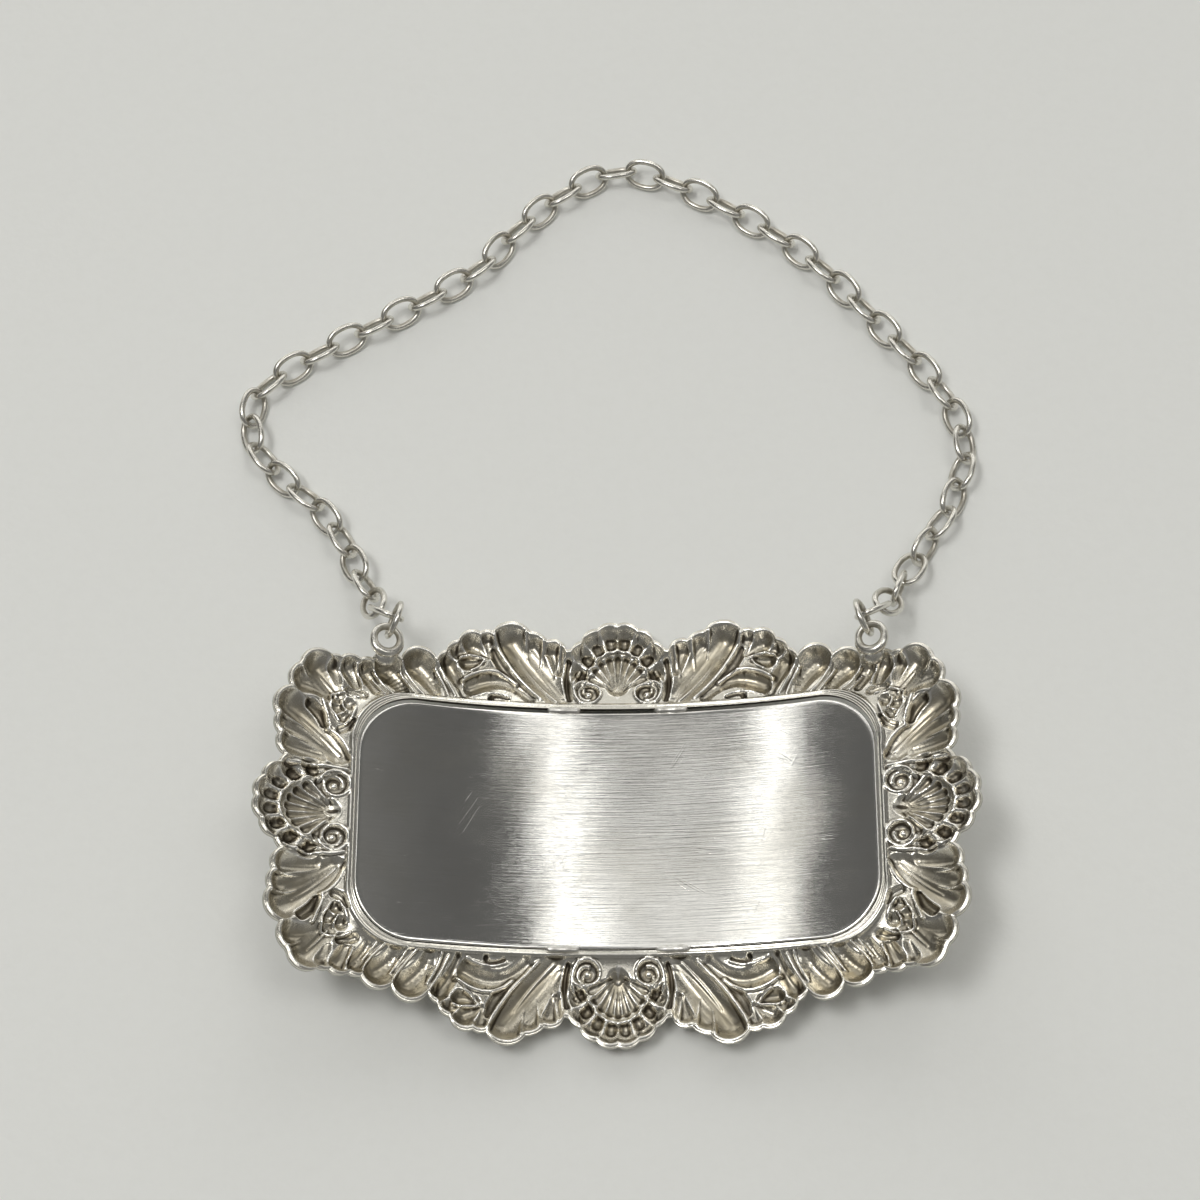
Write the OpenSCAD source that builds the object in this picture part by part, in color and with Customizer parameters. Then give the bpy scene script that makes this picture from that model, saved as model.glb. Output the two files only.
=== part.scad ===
// Wine label for a bottle neck: a bent plate in a stamped border, hung on a chain of oval links.
// Sizes in millimetres. The label lies face down: +Z is its concave back, +Y runs to the chain.

/* [Plate] */
// Length of the plate along its curve
plate_w = 42.7; // [40:0.1:46]
// Height of the plate
plate_h = 20.4; // [19:0.1:22]
// Thickness of the plate
plate_t = 0.7; // [0.5:0.05:1]
// Corner radius of the plate
plate_corner_r = 4.9; // [4:0.1:6]
// Radius of the bottle that the concave back fits
bend_r = 53.2; // [48:0.1:60]

/* [Border] */
// Slit between plate and border at each end
slit_side = 0.1; // [0.08:0.01:0.3]
// Slit under the plate
slit_bottom = 0.08; // [0.08:0.01:0.3]
// Slit over the plate
slit_top = 0.42; // [0.2:0.01:0.6]
// Thickness of the stamped sheet
sheet_t = 0.45; // [0.35:0.05:0.6]
// Depth of the deepest stamped hollow
relief = 1.75; // [1.4:0.05:2]
// Flat fillet round the plate
fillet_w = 0.4; // [0.3:0.05:0.8]
// Raised rim round the scalloped outline
rim_w = 0.28; // [0.2:0.02:0.4]
// How far the plate stands proud of the fillet
plate_proud = 0.15; // [0.1:0.01:0.25]

/* [Eyelets and rings] */
// Centre-line radius of an eyelet
eye_r = 1.12; // [1.08:0.01:1.25]
// Wire of an eyelet
eye_wire = 0.62; // [0.55:0.01:0.66]
// Height of an eyelet's middle over the plate's back
eye_lift = 0.3; // [0.25:0.01:0.4]
// Centre-line radius of a jump ring
ring_r = 1.45; // [1.42:0.01:1.55]
// Wire of a jump ring
ring_wire = 0.48; // [0.42:0.01:0.5]
// Free play of the end link inside its ring
hook_play = 0.2; // [0.15:0.01:0.26]

/* [Chain] */
// Outside length of a link
link_l = 3.88; // [3.8:0.01:3.96]
// Outside width of a link
link_w = 2.8; // [2.7:0.01:2.9]
// Wire of a link
link_wire = 0.52; // [0.48:0.01:0.54]
// Free play between one link and the next
link_play = 0.14; // [0.12:0.01:0.18]
// Lift of the chain off the table
table_gap = 0.05; // [0.04:0.01:0.1]

/* [Hidden] */
$fn = 48;
silver = [0.80, 0.79, 0.75];
worn_silver = [0.86, 0.85, 0.82];

// Opening of the border, as half sizes, and the plate's shift inside it
open_x = plate_w/2 + slit_side;
open_y = (plate_h + slit_bottom + slit_top)/2;
open_r = plate_corner_r + slit_side;
plate_y = -open_y + slit_bottom + plate_h/2;
table_z = -(plate_proud + relief + sheet_t);

// Points of the flat pattern, wrapped round the bottle: n is the height over the plate's back
function bent(p, n) =
    let (turn = p[0]/bend_r*180/PI)
    [(bend_r - n)*sin(turn), p[1], bend_r - (bend_r - n)*cos(turn)];

// Motifs of one quarter of the border, as lobes:
// [root, tip, root radius, tip radius, root depth, tip depth]
top = [0, open_y];
corner = [open_x, open_y];
side = [open_x, 0];

// A flow is a hollow that bends on its way from root to tip, made of two lobes
function flow(at, root, bend, tip, r, d) =
    let (mid = (root + 2*bend + tip)/4, r_mid = (r[0] + r[1])/2, d_mid = (d[0] + d[1])/2)
    [[at + root, at + mid, r[0], r_mid, d[0], d_mid], [at + mid, at + tip, r_mid, r[1], d_mid, d[1]]];
function boss(p, r, d) = [p, p, r, r, d, d];

// A shell is a dish with scallops round its edge, all on spokes from its middle
fan_step = 19.5;
fan_lobes = 4;
scallop_run = [0.8, 0.9];
scallop_r = [0.8, 1];
scallop_d = [0.5, 0.6];
heart_run = [0.1, 0.3];
heart_r = [1, 1.3];
heart_d = [0.62, 0.5];
pan_run = [0.46, 0.5];
pan_r = [2.3, 2.3];
pan_d = [0.5, 0.5];
function spoke(centre, out, run, r, d) =
    [centre + run[0]*out, centre + run[1]*out, r[0], r[1], d[0], d[1]];
function shell(centre, out, across) = concat(
    [for (k = [0:fan_lobes - 1])
        let (turn = (k + 0.5)*fan_step)
        spoke(centre, out*cos(turn) + across*sin(turn), scallop_run, scallop_r, scallop_d)],
    [spoke(centre, out, heart_run, heart_r, heart_d), spoke(centre, out, pan_run, pan_r, pan_d)]);

// Leaf, flower and scroll beside the top shell
top_leaf = [
    each flow(top, [4.9, 0.95], [6.6, 2.95], [8.75, 6.05], [0.7, 1.5], [0.5, 0.95]),
    each flow(top, [4.9, 2.55], [5, 4.15], [5.35, 5.25], [0.5, 0.85], [0.4, 0.75]),
    each flow(top, [5.7, 3.75], [6.3, 4.85], [6.95, 5.75], [0.45, 0.85], [0.4, 0.75]),
    each flow(top, [8, 1.95], [9.5, 3.55], [10.3, 5.25], [0.4, 0.55], [0.35, 0.5]),
    each flow(top, [10.9, 4.75], [11.3, 5.25], [11.95, 5.55], [0.5, 1], [0.45, 0.8]),
    each flow(top, [10.6, 4.85], [10.6, 5.55], [10.75, 5.95], [0.45, 0.7], [0.35, 0.6]),
    each flow(top, [11.2, 4.25], [11.8, 4.05], [12.4, 4.05], [0.5, 0.8], [0.45, 0.75]),
    each flow(top, [12.6, 4.75], [13, 5.05], [13.2, 4.75], [0.5, 0.7], [0.4, 0.6]),
    each flow(top, [7.2, 1.05], [9.4, 3.55], [12, 1.75], [0.6, 1], [0.4, 0.8])];

// Gadroons between the top leaf and the corner
gadroons = [
    each flow(corner, [-8.45, 0.85], [-8.25, 2.35], [-7.55, 3.65], [0.6, 0.85], [0.45, 0.8]),
    each flow(corner, [-6.15, 0.95], [-5.85, 2.15], [-5.05, 3.27], [1, 1.3], [0.6, 0.95]),
    each flow(corner, [-3.45, 0.55], [-3.15, 1.65], [-2.45, 2.55], [0.95, 1.25], [0.6, 0.9]),
    each flow(corner, [-1.25, 0.35], [-1.05, 1.35], [-0.7, 2.05], [0.7, 0.9], [0.5, 0.75]),
    each flow(corner, [0.05, 0.75], [0.35, 1.55], [0.75, 2.1], [0.6, 0.9], [0.45, 0.7])];

// Leaves and buds from the corner down to the side shell
corner_leaf = [
    each flow(corner, [1.65, 0.75], [1.85, 1.45], [2.05, 1.9], [0.5, 0.85], [0.4, 0.65]),
    each flow(corner, [1.45, -0.65], [2.45, 0.75], [3.4, 1.65], [0.6, 1.35], [0.5, 0.9]),
    each flow(corner, [2.75, -0.15], [3.65, 0.35], [4.45, 0.4], [0.7, 1.2], [0.5, 0.8]),
    each flow(corner, [2.55, -3.05], [2.95, -2.15], [3.75, -1.55], [0.5, 0.65], [0.8, 0.75]),
    boss(corner + [0.65, -1.05], 0.65, 0.5),
    boss(corner + [1.55, -1.45], 0.7, 0.55),
    boss(corner + [1.05, -2.3], 0.6, 0.5),
    each flow(corner, [1.05, -5.75], [2.55, -3.65], [5.45, -2.1], [0.65, 1.4], [0.5, 0.9]),
    each flow(corner, [3.35, -4.45], [4.55, -3.95], [5.65, -3.7], [0.7, 1.05], [0.45, 0.8]),
    each flow(corner, [1.75, -6.05], [3.75, -5.65], [5.45, -5.3], [0.6, 1], [0.4, 0.75])];

// Shells in the middle of the top and of the side, each with a scroll beside it
scroll_r = 0.95;
scroll_d = 0.6;
shells = concat(
    shell(top + [0, 1.75], [0, 5.55], [3.9, 0]),
    shell(side + [1.3, 0], [6.65, 0], [0, 4.3]),
    [boss(top + [2.45, 1.75], scroll_r, scroll_d), boss(side + [1.6, 2.25], scroll_r, scroll_d)]);

lobes = concat(shells, top_leaf, gadroons, corner_leaf);

// Ground of the border between the motifs
ground_edge = [
    top + [0, 6.55],
    top + [4.6, 5.35],
    top + [9, 6.15],
    corner + [-7.65, 4.55],
    corner + [-5.45, 3.4],
    corner + [0.55, 2.55],
    corner + [4.55, 1.15],
    corner + [6.15, -2.45],
    corner + [5.65, -6.25],
    side + [7.05, 0]];

// The whole border is dished, and the lobes are hollows in the dish: shares of the relief
dish_share = 0.48;
bowl_share = 0.54;
rim_depth = 0.1;
dish_power = 0.6;
bowl_power = 1.25;

// A lobe is a round-bottomed hollow that deepens from its root to its tip
function hollow(l, p) =
    let (
        run = l[1] - l[0],
        along = run*run > 0 ? min(1, max(0, ((p - l[0])*run)/(run*run))) : 1,
        off = norm(p - l[0] - along*run)/(l[2] + along*(l[3] - l[2])))
    off < 1 ? (l[4] + along*(l[5] - l[4]))*pow(1 - off*off, bowl_power) : 0;

// Depth at a point that lies a share u of the way from the fillet to the rim
function stamped(p, u) =
    let (dish = pow(max(0, 4*u*(1 - u)), dish_power), bowl = max([for (l = lobes) hollow(l, p)]))
    relief*(dish_share*dish + bowl_share*bowl);

// Rays run outward from the opening, square to its edge, to the scalloped outline
top_rays = 29;
corner_rays = 30;
side_rays = 10;
rays = top_rays + corner_rays + side_rays;
steps = 10;

function ray_turn(k) = 90 - 90*min(1, max(0, (k - top_rays)/corner_rays));
function ray_dir(k) = [cos(ray_turn(k)), sin(ray_turn(k))];
function ray_root(k) =
    [open_x - open_r, open_y - open_r]
    + open_r*ray_dir(k)
    - [(open_x - open_r)*max(0, 1 - k/top_rays), 0]
    - [0, (open_y - open_r)*max(0, (k - top_rays - corner_rays)/side_rays)];
function lobe_reach(o, d, l) =
    let (to = l[1] - o, mid = to*d, room = pow(l[3] + rim_w, 2) - to*to + mid*mid)
    room > 0 ? mid + sqrt(room) : 0;
function edge_reach(o, d, a, b) =
    let (turn = cross(d, b - a), u = cross(a - o, d)/turn)
    abs(turn) > 0 && u >= 0 && u <= 1 ? cross(a - o, b - a)/turn : 0;
function reach(o, d) = max(concat(
    [for (l = lobes) lobe_reach(o, d, l)],
    [for (i = [1:len(ground_edge) - 1]) edge_reach(o, d, ground_edge[i - 1], ground_edge[i])]));

// Flat position and depth of step j along ray k: the fillet, then the hollows, then the rim
function step_at(j, far) =
    j == 0 ? 0 : j == steps ? far : fillet_w + (far - fillet_w - rim_w)*(j - 1)/(steps - 2);
function step_depth(j, p) =
    j <= 1 ? 0
    : j >= steps - 1 ? relief*rim_depth
    : max(relief*rim_depth, stamped(p, (j - 1)/(steps - 2)));
quarter = [for (k = [0:rays])
    let (o = ray_root(k), d = ray_dir(k), far = reach(o, d))
    [for (j = [0:steps]) let (p = o + d*step_at(j, far)) [p[0], p[1], step_depth(j, p)]]];

// Depth at any point over the straight top or the corner, along the ray that passes through it
function depth_at(p) =
    let (
        middle = [min(p[0], open_x - open_r), open_y - open_r],
        d = (p - middle)/norm(p - middle),
        o = middle + open_r*d,
        far = reach(o, d))
    stamped(p, (norm(p - o) - fillet_w)/(far - fillet_w - rim_w));

// The quarter is mirrored into the four quarters of the border, clockwise from the top
columns = 4*rays;
function column(c) =
    let (q = floor(c/rays), k = c - q*rays, odd = q % 2 == 1)
    [for (s = quarter[odd ? rays - k : k]) [q < 2 ? s[0] : -s[0], q == 0 || q == 3 ? s[1] : -s[1], s[2]]];

// Eyelets: foot on the border, rim round the ring, each set off from its corner of the opening
left_eye_off = [2.05, 4.75];
right_eye_off = [0.05, 4.25];
left_eye = [-open_x, open_y] + left_eye_off;
right_eye = corner + right_eye_off;
foot_r = 0.4;
foot_reach = 2.2;

// Rings stand on edge across the eyelets
ring_heading = 75;
ring_up = 0.5;
ring_out = eye_r + ring_up;
hook_turn = -45;

// Directions at an eyelet: along the ring, up from the label, and across the ring
function eye_turn(eye) = eye[0]/bend_r*180/PI;
function eye_up(eye) = [-sin(eye_turn(eye)), 0, cos(eye_turn(eye))];
function heading(eye) = eye[0] < 0 ? ring_heading : 180 - ring_heading;
function ring_way(eye) =
    cos(heading(eye))*[cos(eye_turn(eye)), 0, sin(eye_turn(eye))] + [0, sin(heading(eye)), 0];
function ring_across(eye) = cross(ring_way(eye), eye_up(eye));
function rim_centre(eye) = bent(eye, eye_lift) + eye_r*ring_way(eye);
function ring_centre(eye) = bent(eye, eye_lift) + ring_out*ring_way(eye) + ring_up*eye_up(eye);
hook_reach = ring_r - (ring_wire + link_play)/2 - hook_play;
function hook_way(eye) = cos(hook_turn)*ring_way(eye) + sin(hook_turn)*eye_up(eye);
function hook(eye) = ring_centre(eye) + hook_reach*hook_way(eye);

// Links: a ring of wire drawn out into an oval, with round ends and short straight flanks
side_links = 25;
links = 2*side_links;
pitch = link_l - 2*link_wire - link_play;
half_w = (link_w - link_wire)/2;
flank = link_l - link_w;

// The chain's route on the table, chosen by eye: [along the line of the hooks, out from it, height]
route = [
    [-21.4, 1.6, 2.7], [-22.2, 4, 1.1], [-23.8, 7.3, 0.2], [-25.8, 11.1, 0], [-28.2, 13.4, 0],
    [-31.2, 16, 0], [-33.2, 19.4, 0], [-32.8, 23.2, 0], [-29.6, 26, 0], [-24.8, 28.9, 0],
    [-19, 32.2, 0], [-13.4, 35.9, 0], [-10.4, 39.5, 0], [-6, 43.6, 0], [-1, 46.1, 0],
    [3.4, 45.2, 0], [10, 41.7, 0], [16.4, 37, 0], [22, 30.7, 0], [27.2, 24.2, 0],
    [29.4, 18.6, 0], [27.8, 12.7, 0], [24.8, 7.9, 0.2], [23, 4.7, 1], [22, 2.3, 2.8]];
route_span = 39.1;
link_tilt = 45;
link_z = table_z + half_w*sin(link_tilt) + link_wire/2 + table_gap;
left_hook = hook(left_eye);
right_hook = hook(right_eye);
hook_mid = (left_hook + right_hook)/2;
hook_line = (right_hook - left_hook)/route_span;

// A smooth curve through the route, with the reach s that makes its length fit the links
function laid(s) = concat([left_hook], [for (r = route)
    let (p = hook_mid + r[0]*hook_line + [0, s*r[1], 0]) [p[0], p[1], link_z + r[2]]], [right_hook]);
function blend(a, b, c, d, u) =
    (2*b + (c - a)*u + (2*a - 5*b + 4*c - d)*u*u + (3*b - a - 3*c + d)*u*u*u)/2;
cuts = 14;
function smooth(p) =
    let (n = len(p) - 1, q = concat([2*p[0] - p[1]], p, [2*p[n] - p[n - 1]]))
    concat(
        [for (i = [0:n - 1]) for (k = [0:cuts - 1]) blend(q[i], q[i + 1], q[i + 2], q[i + 3], k/cuts)],
        [p[n]]);
function running(c) =
    [for (i = 0, s = 0; i < len(c); i = i + 1, s = s + (i < len(c) ? norm(c[i] - c[i - 1]) : 0)) s];
function last(v) = v[len(v) - 1];
function fitted(low, high, tries) =
    let (mid = (low + high)/2)
    tries == 0 ? mid
    : last(running(smooth(laid(mid)))) > links*pitch ? fitted(low, mid, tries - 1)
    : fitted(mid, high, tries - 1);
least_reach = 0.7;
most_reach = 1.3;
halvings = 26;
curve = smooth(laid(fitted(least_reach, most_reach, halvings)));
travel = running(curve);
function on_curve(s) =
    [for (axis = [0:2]) lookup(s, [for (i = [0:len(curve) - 1]) [travel[i], curve[i][axis]]])];
joints = [for (k = [0:links]) on_curve(last(travel)*k/links)];

// Links lie tilted one way and the other, and the end ones turn square to their rings
function way(k) = (joints[k + 1] - joints[k])/norm(joints[k + 1] - joints[k]);
function level(k) = let (w = way(k), h = cross([0, 0, 1], w)) h/norm(h);
function lean(k) = k % 2 == 0 ? link_tilt : -link_tilt;
function square_to(k, across) = atan2(across*cross(way(k), level(k)), across*level(k));
function half_turn(a) = (a + 450) % 180 - 90;
left_fix = half_turn(square_to(0, ring_across(left_eye)) - lean(0));
right_fix = half_turn(square_to(links - 1, ring_across(right_eye)) - lean(links - 1));
fade = 5;
function roll(k) =
    lean(k) + left_fix*max(0, 1 - k/fade) + right_fix*max(0, 1 - (links - 1 - k)/fade);

// Solder run into the slits between plate and border
tack_x = 4.4;
tack_half = 1.1;
tack_bite = 0.14;
tack_r = slit_top/2 + tack_bite;
tack_lift = -0.12;

// Round-ended rod between two points, turned from its half profile
module rod(a, b, r) {
    run = b - a;
    long = norm(run);
    translate(a) rotate([0, acos(run[2]/long), atan2(run[1], run[0])])
        rotate_extrude() intersection() {
            union() {
                circle(r);
                translate([0, long]) circle(r);
                translate([-r, 0]) square([2*r, long]);
            }
            translate([0, -2*r]) square([2*r, long + 4*r]);
        }
}

// Wire bent round part of a circle
module wire_arc(r, wire, turn) {
    rotate_extrude(angle = turn) translate([r, 0]) circle(d = wire);
}

module border_frame() {
    across = steps + 1;
    flat = [for (c = [0:columns - 1]) column(c)];
    back = [for (col = flat) for (s = col) bent(s, -plate_proud - s[2])];
    front = [for (col = flat) for (s = col) bent(s, -plate_proud - s[2] - sheet_t)];
    shift = columns*across;
    quads = concat(
        [for (c = [0:columns - 1]) for (j = [0:steps - 1])
            let (a = c*across + j, b = (c + 1) % columns*across + j) [a, a + 1, b + 1, b]],
        [for (c = [0:columns - 1]) for (j = [0:steps - 1])
            let (a = shift + c*across + j, b = shift + (c + 1) % columns*across + j) [a, b, b + 1, a + 1]],
        [for (c = [0:columns - 1])
            let (a = c*across, b = (c + 1) % columns*across) [a, b, shift + b, shift + a]],
        [for (c = [0:columns - 1])
            let (a = c*across + steps, b = (c + 1) % columns*across + steps) [a, shift + a, shift + b, b]]);
    halves = [[0, 1, 2], [0, 2, 3]];
    color(silver)
        polyhedron(concat(back, front), [for (q = quads) for (t = halves) [q[t[0]], q[t[1]], q[t[2]]]]);
}

module name_plate() {
    half = bend_r*sin(plate_w/2/bend_r*180/PI);
    deep = bend_r;
    color(worn_silver)
        intersection() {
            translate([0, 0, bend_r]) rotate([90, 0, 0]) difference() {
                cylinder(r = bend_r + plate_t, h = 2*plate_h, center = true, $fn = 180);
                cylinder(r = bend_r, h = 3*plate_h, center = true, $fn = 180);
            }
            translate([0, plate_y, -deep/2]) linear_extrude(deep) union() {
                square([2*half - 2*plate_corner_r, plate_h], center = true);
                square([2*half, plate_h - 2*plate_corner_r], center = true);
                for (x = [-1, 1]) for (y = [-1, 1])
                    translate([x*(half - plate_corner_r), y*(plate_h/2 - plate_corner_r)])
                        circle(plate_corner_r);
            }
        }
}

module solder_tacks() {
    color(worn_silver)
        for (x = [-tack_x, tack_x]) for (y = [slit_bottom/2 - open_y, open_y - slit_top/2])
            rod(bent([x - tack_half, y], tack_lift), bent([x + tack_half, y], tack_lift), tack_r);
}

module eyelet(eye) {
    foot = eye - [0, foot_reach];
    color(silver) {
        translate(bent(eye, eye_lift)) rotate([0, -eye_turn(eye), 0]) wire_arc(eye_r, eye_wire, 360);
        rod(
            bent(eye - [0, eye_r], eye_lift),
            bent(foot, -plate_proud - depth_at([abs(foot[0]), foot[1]])),
            foot_r);
    }
}

module jump_ring(eye) {
    color(worn_silver)
        translate(ring_centre(eye))
        rotate([0, -eye_turn(eye), 0]) rotate([90, 0, heading(eye)])
        wire_arc(ring_r, ring_wire, 360);
}

module link(k) {
    w = way(k);
    color(silver)
        translate((joints[k] + joints[k + 1])/2)
        rotate([0, -asin(w[2]), atan2(w[1], w[0])]) rotate([roll(k), 0, 0])
        for (half = [0, 180]) rotate(half) {
            translate([flank/2, 0, 0]) rotate(-90) wire_arc(half_w, link_wire, 180);
            translate([-flank/2, half_w, 0]) rotate([0, 90, 0]) cylinder(d = link_wire, h = flank);
        }
}

border_frame();
name_plate();
solder_tacks();
eyelet(left_eye);  // left_eyelet
eyelet(right_eye);  // right_eyelet
jump_ring(left_eye);  // left_ring
jump_ring(right_eye);  // right_ring
for (k = [1:side_links]) {
    link(k - 1);
    link(links - k);
}
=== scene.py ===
"""Silver wine label with its chain, lying face down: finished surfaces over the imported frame.

Lengths in the classes are millimetres, as in the part's source, and become metres in Blender.
"""
import logging
import math
from dataclasses import dataclass, field
from enum import Enum
from typing import Any, Callable, ClassVar, Dict, List, Mapping, NamedTuple, Optional, Sequence, Tuple, Union

import bpy
import numpy as np
from mathutils import Matrix, Vector


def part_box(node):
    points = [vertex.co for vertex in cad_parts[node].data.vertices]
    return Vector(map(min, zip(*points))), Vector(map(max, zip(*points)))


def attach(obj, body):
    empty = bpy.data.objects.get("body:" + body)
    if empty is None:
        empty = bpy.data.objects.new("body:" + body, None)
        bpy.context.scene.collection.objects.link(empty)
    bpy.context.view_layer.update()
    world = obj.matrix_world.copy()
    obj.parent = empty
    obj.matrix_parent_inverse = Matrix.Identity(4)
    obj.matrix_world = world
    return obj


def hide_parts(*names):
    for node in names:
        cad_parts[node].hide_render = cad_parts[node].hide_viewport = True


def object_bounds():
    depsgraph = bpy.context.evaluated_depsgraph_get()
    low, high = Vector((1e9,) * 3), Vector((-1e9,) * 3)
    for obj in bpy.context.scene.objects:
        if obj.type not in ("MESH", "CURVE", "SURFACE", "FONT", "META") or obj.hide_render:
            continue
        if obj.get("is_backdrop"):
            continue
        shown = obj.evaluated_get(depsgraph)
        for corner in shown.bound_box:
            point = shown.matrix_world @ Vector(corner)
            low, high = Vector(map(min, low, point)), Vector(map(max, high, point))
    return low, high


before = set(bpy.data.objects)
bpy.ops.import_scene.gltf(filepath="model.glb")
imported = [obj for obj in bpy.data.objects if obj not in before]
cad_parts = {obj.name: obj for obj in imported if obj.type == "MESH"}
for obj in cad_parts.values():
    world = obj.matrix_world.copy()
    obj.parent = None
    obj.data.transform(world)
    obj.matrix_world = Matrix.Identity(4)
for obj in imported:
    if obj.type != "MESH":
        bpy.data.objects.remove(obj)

LOG = logging.getLogger("wine_label")
MM = 0.001
BOTTLE_RADIUS = 53.2
TINY = 1e-9
SLACK = 1e-6
Array = np.ndarray
Point = Tuple[float, float]
Triple = Tuple[float, float, float]
Colour = Triple


class Body(Enum):
    """Bodies of the frame that carry more than one piece."""

    LABEL = "label"


class Side(Enum):
    """The two ends of the chain, named as the frame names them."""

    LEFT = "left"
    RIGHT = "right"


class Slot(Enum):
    """Material slots of the pieces."""

    STAMPED = "stamped_silver"
    BRUSHED = "brushed_silver"
    WIRE = "drawn_wire"
    SOLDER = "solder"


def math_operator(operation: str, swapped: bool = False) -> Callable[..., "Socket"]:
    """A method that joins a socket and another value by a Math node.

    Args:
        operation: the node's operation.
        swapped: whether the other value comes first.

    Returns:
        The method.
    """
    def join(self: "Socket", other: Any = 0.0) -> "Socket":
        """Join the two values."""
        first, second = (other, self) if swapped else (self, other)
        return self.graph.node("ShaderNodeMath", {0: first, 1: second}, operation=operation)

    return join


class Socket:
    """A node's output that can stand in an arithmetic expression."""

    __add__ = __radd__ = math_operator("ADD")
    __mul__ = __rmul__ = math_operator("MULTIPLY")
    __sub__ = math_operator("SUBTRACT")
    __rsub__ = math_operator("SUBTRACT", swapped=True)
    __abs__ = math_operator("ABSOLUTE")
    least = math_operator("MINIMUM")
    most = math_operator("MAXIMUM")

    def __init__(self, graph: "Graph", output: bpy.types.NodeSocket) -> None:
        """Keep the output and the graph that it belongs to."""
        self.graph = graph
        self.output = output

    def ramp(self, low: float, high: float) -> "Socket":
        """Smooth step that is 0 at low and 1 at high."""
        inputs = {"Value": self, "From Min": low, "From Max": high}
        return self.graph.node("ShaderNodeMapRange", inputs, interpolation_type="SMOOTHSTEP")


class Graph:
    """A tree of shader nodes."""

    def __init__(self, tree: bpy.types.NodeTree) -> None:
        """Start from an empty tree."""
        self.tree = tree
        self.tree.nodes.clear()

    def node(
            self, kind: str, inputs: Mapping[Union[int, str], Any], output: Union[int, str] = 0,
            **settings: Any) -> Optional[Socket]:
        """Make any node: its settings first, then the values or links of its sockets.

        Args:
            kind: Blender's name for the node's type.
            inputs: value or Socket for each input, by name or number.
            output: the output that is wanted, by name or number.
            settings: properties of the node, such as a Math node's operation.

        Returns:
            The wanted output, or nothing for a node that has none.
        """
        made = self.tree.nodes.new(kind)
        for name, value in settings.items():
            setattr(made, name, value)
        for key, value in inputs.items():
            if isinstance(value, Socket):
                self.tree.links.new(value.output, made.inputs[key])
            else:
                made.inputs[key].default_value = value
        return Socket(self, made.outputs[output]) if len(made.outputs) else None

    def noise(
            self, cells: Union[float, Sequence[float]], detail: float = 3.0, rough: float = 0.5,
            turn: float = 0.0) -> Socket:
        """Noise about 0.5 on Object coordinates that are turned about Z and stretched.

        Args:
            cells: cells to a metre, for all axes or for each.
            detail: octaves.
            rough: strength of the finer octaves.
            turn: angle about Z in degrees.

        Returns:
            The noise value.
        """
        where = self.node("ShaderNodeTexCoord", {}, "Object")
        turned = self.node("ShaderNodeMapping", {"Vector": where, "Rotation": (0, 0, math.radians(turn))})
        stretch = np.full(3, cells, dtype=float).tolist()
        place = self.node("ShaderNodeVectorMath", {0: turned, 1: stretch}, operation="MULTIPLY")
        return self.node(
            "ShaderNodeTexNoise", {"Vector": place, "Scale": 1.0, "Detail": detail, "Roughness": rough})

    def attribute(self, name: str) -> Socket:
        """A number that the mesh carries at its points."""
        return self.node("ShaderNodeAttribute", {}, "Fac", attribute_name=name)

    def tint(self, share: Any, first: Union[Colour, Socket], second: Colour) -> Socket:
        """Mix of two colours, the first where share is 0 and the second where it is 1."""
        start = first if isinstance(first, Socket) else (*first, 1.0)
        return self.node("ShaderNodeMix", {0: share, 6: start, 7: (*second, 1.0)}, 2, data_type="RGBA")

    def finish(self, inputs: Mapping[str, Any], height: Socket, depth: float) -> None:
        """Close the tree with one Principled shader.

        Args:
            inputs: values and links of the shader's sockets.
            height: bump height, from 0 to 1.
            depth: what a height of 1 stands for, in metres.
        """
        bump = self.node("ShaderNodeBump", {"Height": height, "Distance": depth, "Strength": 1.0})
        shader = self.node("ShaderNodeBsdfPrincipled", {**inputs, "Normal": bump})
        self.node("ShaderNodeOutputMaterial", {"Surface": shader})


class Finish:
    """A finish, which draws its nodes into a material of its name."""

    name: ClassVar[str]

    def draw(self, g: Graph) -> None:
        """Draw the finish's nodes into a material's graph."""
        raise NotImplementedError

    def material(self) -> bpy.types.Material:
        """Make the material.

        Returns:
            The material, with its nodes.
        """
        made = bpy.data.materials.new(self.name)
        made.use_nodes = True
        self.draw(Graph(made.node_tree))
        return made


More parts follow.
